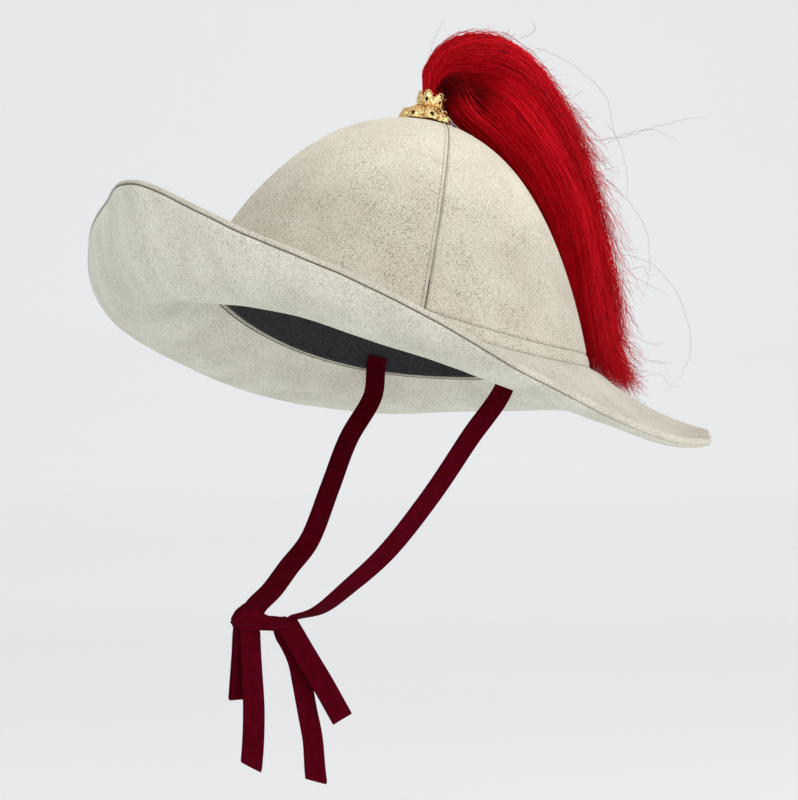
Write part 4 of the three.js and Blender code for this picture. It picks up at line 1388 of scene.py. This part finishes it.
def red_hair():
    """Dyed hair, each strand a little lighter or darker than the next, with painted shade and light carried
    in the tone it reads.
    """
    paint, shader = new_paint("red_hair", (0.40, 0.003, 0.008, 1), 0.45, 0.1)
    shader.inputs["Specular Tint"].default_value = (1, 0.3, 0.36, 1)
    tone = add_node(paint, "ShaderNodeAttribute")
    tone.attribute_name = "tone"
    dark, middle, pale = (0.07, 0.0002, 0.0008, 1), (0.60, 0.003, 0.009, 1), (0.86, 0.018, 0.036, 1)
    reds = [(0.0, dark), (0.5, middle), (1.0, pale)]
    return dyed_paint(paint, shader, tone.outputs["Fac"], reds)


def hair_heart():
    """Deep red inside of the plume, streaked along the hair."""
    paint, shader = new_paint("hair_heart", (0.2, 0.001, 0.004, 1), 0.7, 0.05)
    streak = add_noise(paint, 1.0, 3, 0.0, (140, 4, 1), source="UV")
    add_bump(paint, shader, streak, 0.6, 0.0006)
    reds = [(0.3, (0.14, 0.0005, 0.002, 1)), (0.7, (0.42, 0.0015, 0.005, 1))]
    return dyed_paint(paint, shader, streak, reds)


def wine_ribbon():
    """Matte woven ribbon in deep wine red."""
    paint, shader = new_paint("wine_ribbon", (0.09, 0.0007, 0.006, 1), 0.9, 0.02)
    add_bump(paint, shader, add_noise(paint, 2200, 2), 0.3, 0.0002)
    wines = [(0.3, (0.055, 0.0003, 0.0036, 1)), (0.7, (0.076, 0.0006, 0.0060, 1))]
    return dyed_paint(paint, shader, add_noise(paint, 260, 3), wines)


# Studio

def studio():
    """Pale floor and backdrop in one sweep, with soft light from above and both sides."""
    paint, _ = new_paint("studio_white", STUDIO_WHITE, 0.9)
    bm = bmesh.new()
    near, far = (
        [bm.verts.new((side, away, FLOOR_LEVEL + up)) for away, up in SWEEP_LINE]
        for side in (-SWEEP_HALF_WIDE, SWEEP_HALF_WIDE)
    )
    for k in range(len(SWEEP_LINE) - 1):
        bm.faces.new((near[k], far[k], far[k + 1], near[k + 1]))
    bmesh.ops.subdivide_edges(bm, edges=bm.edges, cuts=3, use_grid_fill=True, smooth=0.6)
    bmesh.ops.rotate(bm, verts=bm.verts, matrix=Matrix.Rotation(-CAMERA_TURN, 3, "Z"))
    sweep_piece = link_mesh("studio_sweep", mesh_of("studio_sweep", bm), paint)
    world = bpy.data.worlds.new("studio_air")
    world.use_nodes = True
    air = world.node_tree.nodes["Background"]
    air.inputs["Color"].default_value = STUDIO_AIR
    air.inputs["Strength"].default_value = STUDIO_AIR_STRENGTH
    bpy.context.scene.world = world
    bpy.context.scene.view_settings.view_transform = "Standard"
    for name, (place, size, power) in LIGHTS.items():
        soft_light(name, place, size, power)


def soft_light(name, place, size, power):
    """Round light that points at the hat."""
    light = bpy.data.lights.new(name, "AREA")
    light.shape = "DISK"
    light.size = size
    light.energy = power
    lamp = bpy.data.objects.new(name, light)
    lamp.location = place
    lamp.rotation_euler = (-Vector(place)).to_track_quat("-Z", "Y").to_euler()
    bpy.context.scene.collection.objects.link(lamp)


def camera():
    lens = bpy.data.cameras.new("camera")
    lens.lens = CAMERA_LENS
    lens.sensor_width = 36
    lens.shift_y = CAMERA_RISE
    eye = bpy.data.objects.new("camera", lens)
    ahead = Vector((math.sin(CAMERA_TURN), math.cos(CAMERA_TURN), 0))
    aside = Vector((math.cos(CAMERA_TURN), -math.sin(CAMERA_TURN), 0))
    eye.location = -CAMERA_AWAY * ahead + CAMERA_ASIDE * aside + Vector((0, 0, CAMERA_LEVEL))
    eye.rotation_euler = (math.pi / 2, 0, -CAMERA_TURN)
    bpy.context.scene.collection.objects.link(eye)
    bpy.context.scene.camera = eye


def main():
    camera()
    studio()
    felt = wool_felt("crown_felt")
    for node in CROWN_PANELS:
        crown_panel(node, felt)
    crown_hem(felt)
    seam_stitches(sewing_thread("seam_shadow_thread"))
    foot_stitches(sewing_thread("foot_thread"))
    sweatband(dark_band())
    brim_top(wool_felt("brim_top_felt"))
    brim_under(wool_felt("brim_under_felt"))
    hem_shadow_thread(sewing_thread("hem_shadow_thread"))
    finial(gold_metal())
    hair = red_hair()
    plume_core(hair_heart())
    for number in range(HAIR_PIECES):
        plume_hair(number, hair)
    plume_fray(hair)
    plume_under_wisps(hair)
    plume_flyaways(hair)
    plume_long_hairs(hair)
    ribbon = wine_ribbon()
    chin_ribbon("chin_ribbon_left", 1, ribbon)
    chin_ribbon("chin_ribbon_right", -1, ribbon)
    bow_knot(ribbon)
    bow_tail("bow_tail_front", BOW_TAIL_FRONT, ribbon)
    bow_tail("bow_tail_back", BOW_TAIL_BACK, ribbon)
    bow_loop("bow_loop_front", BOW_LOOP_FRONT, ribbon)
    bow_loop("bow_loop_back", BOW_LOOP_BACK, ribbon)


main()
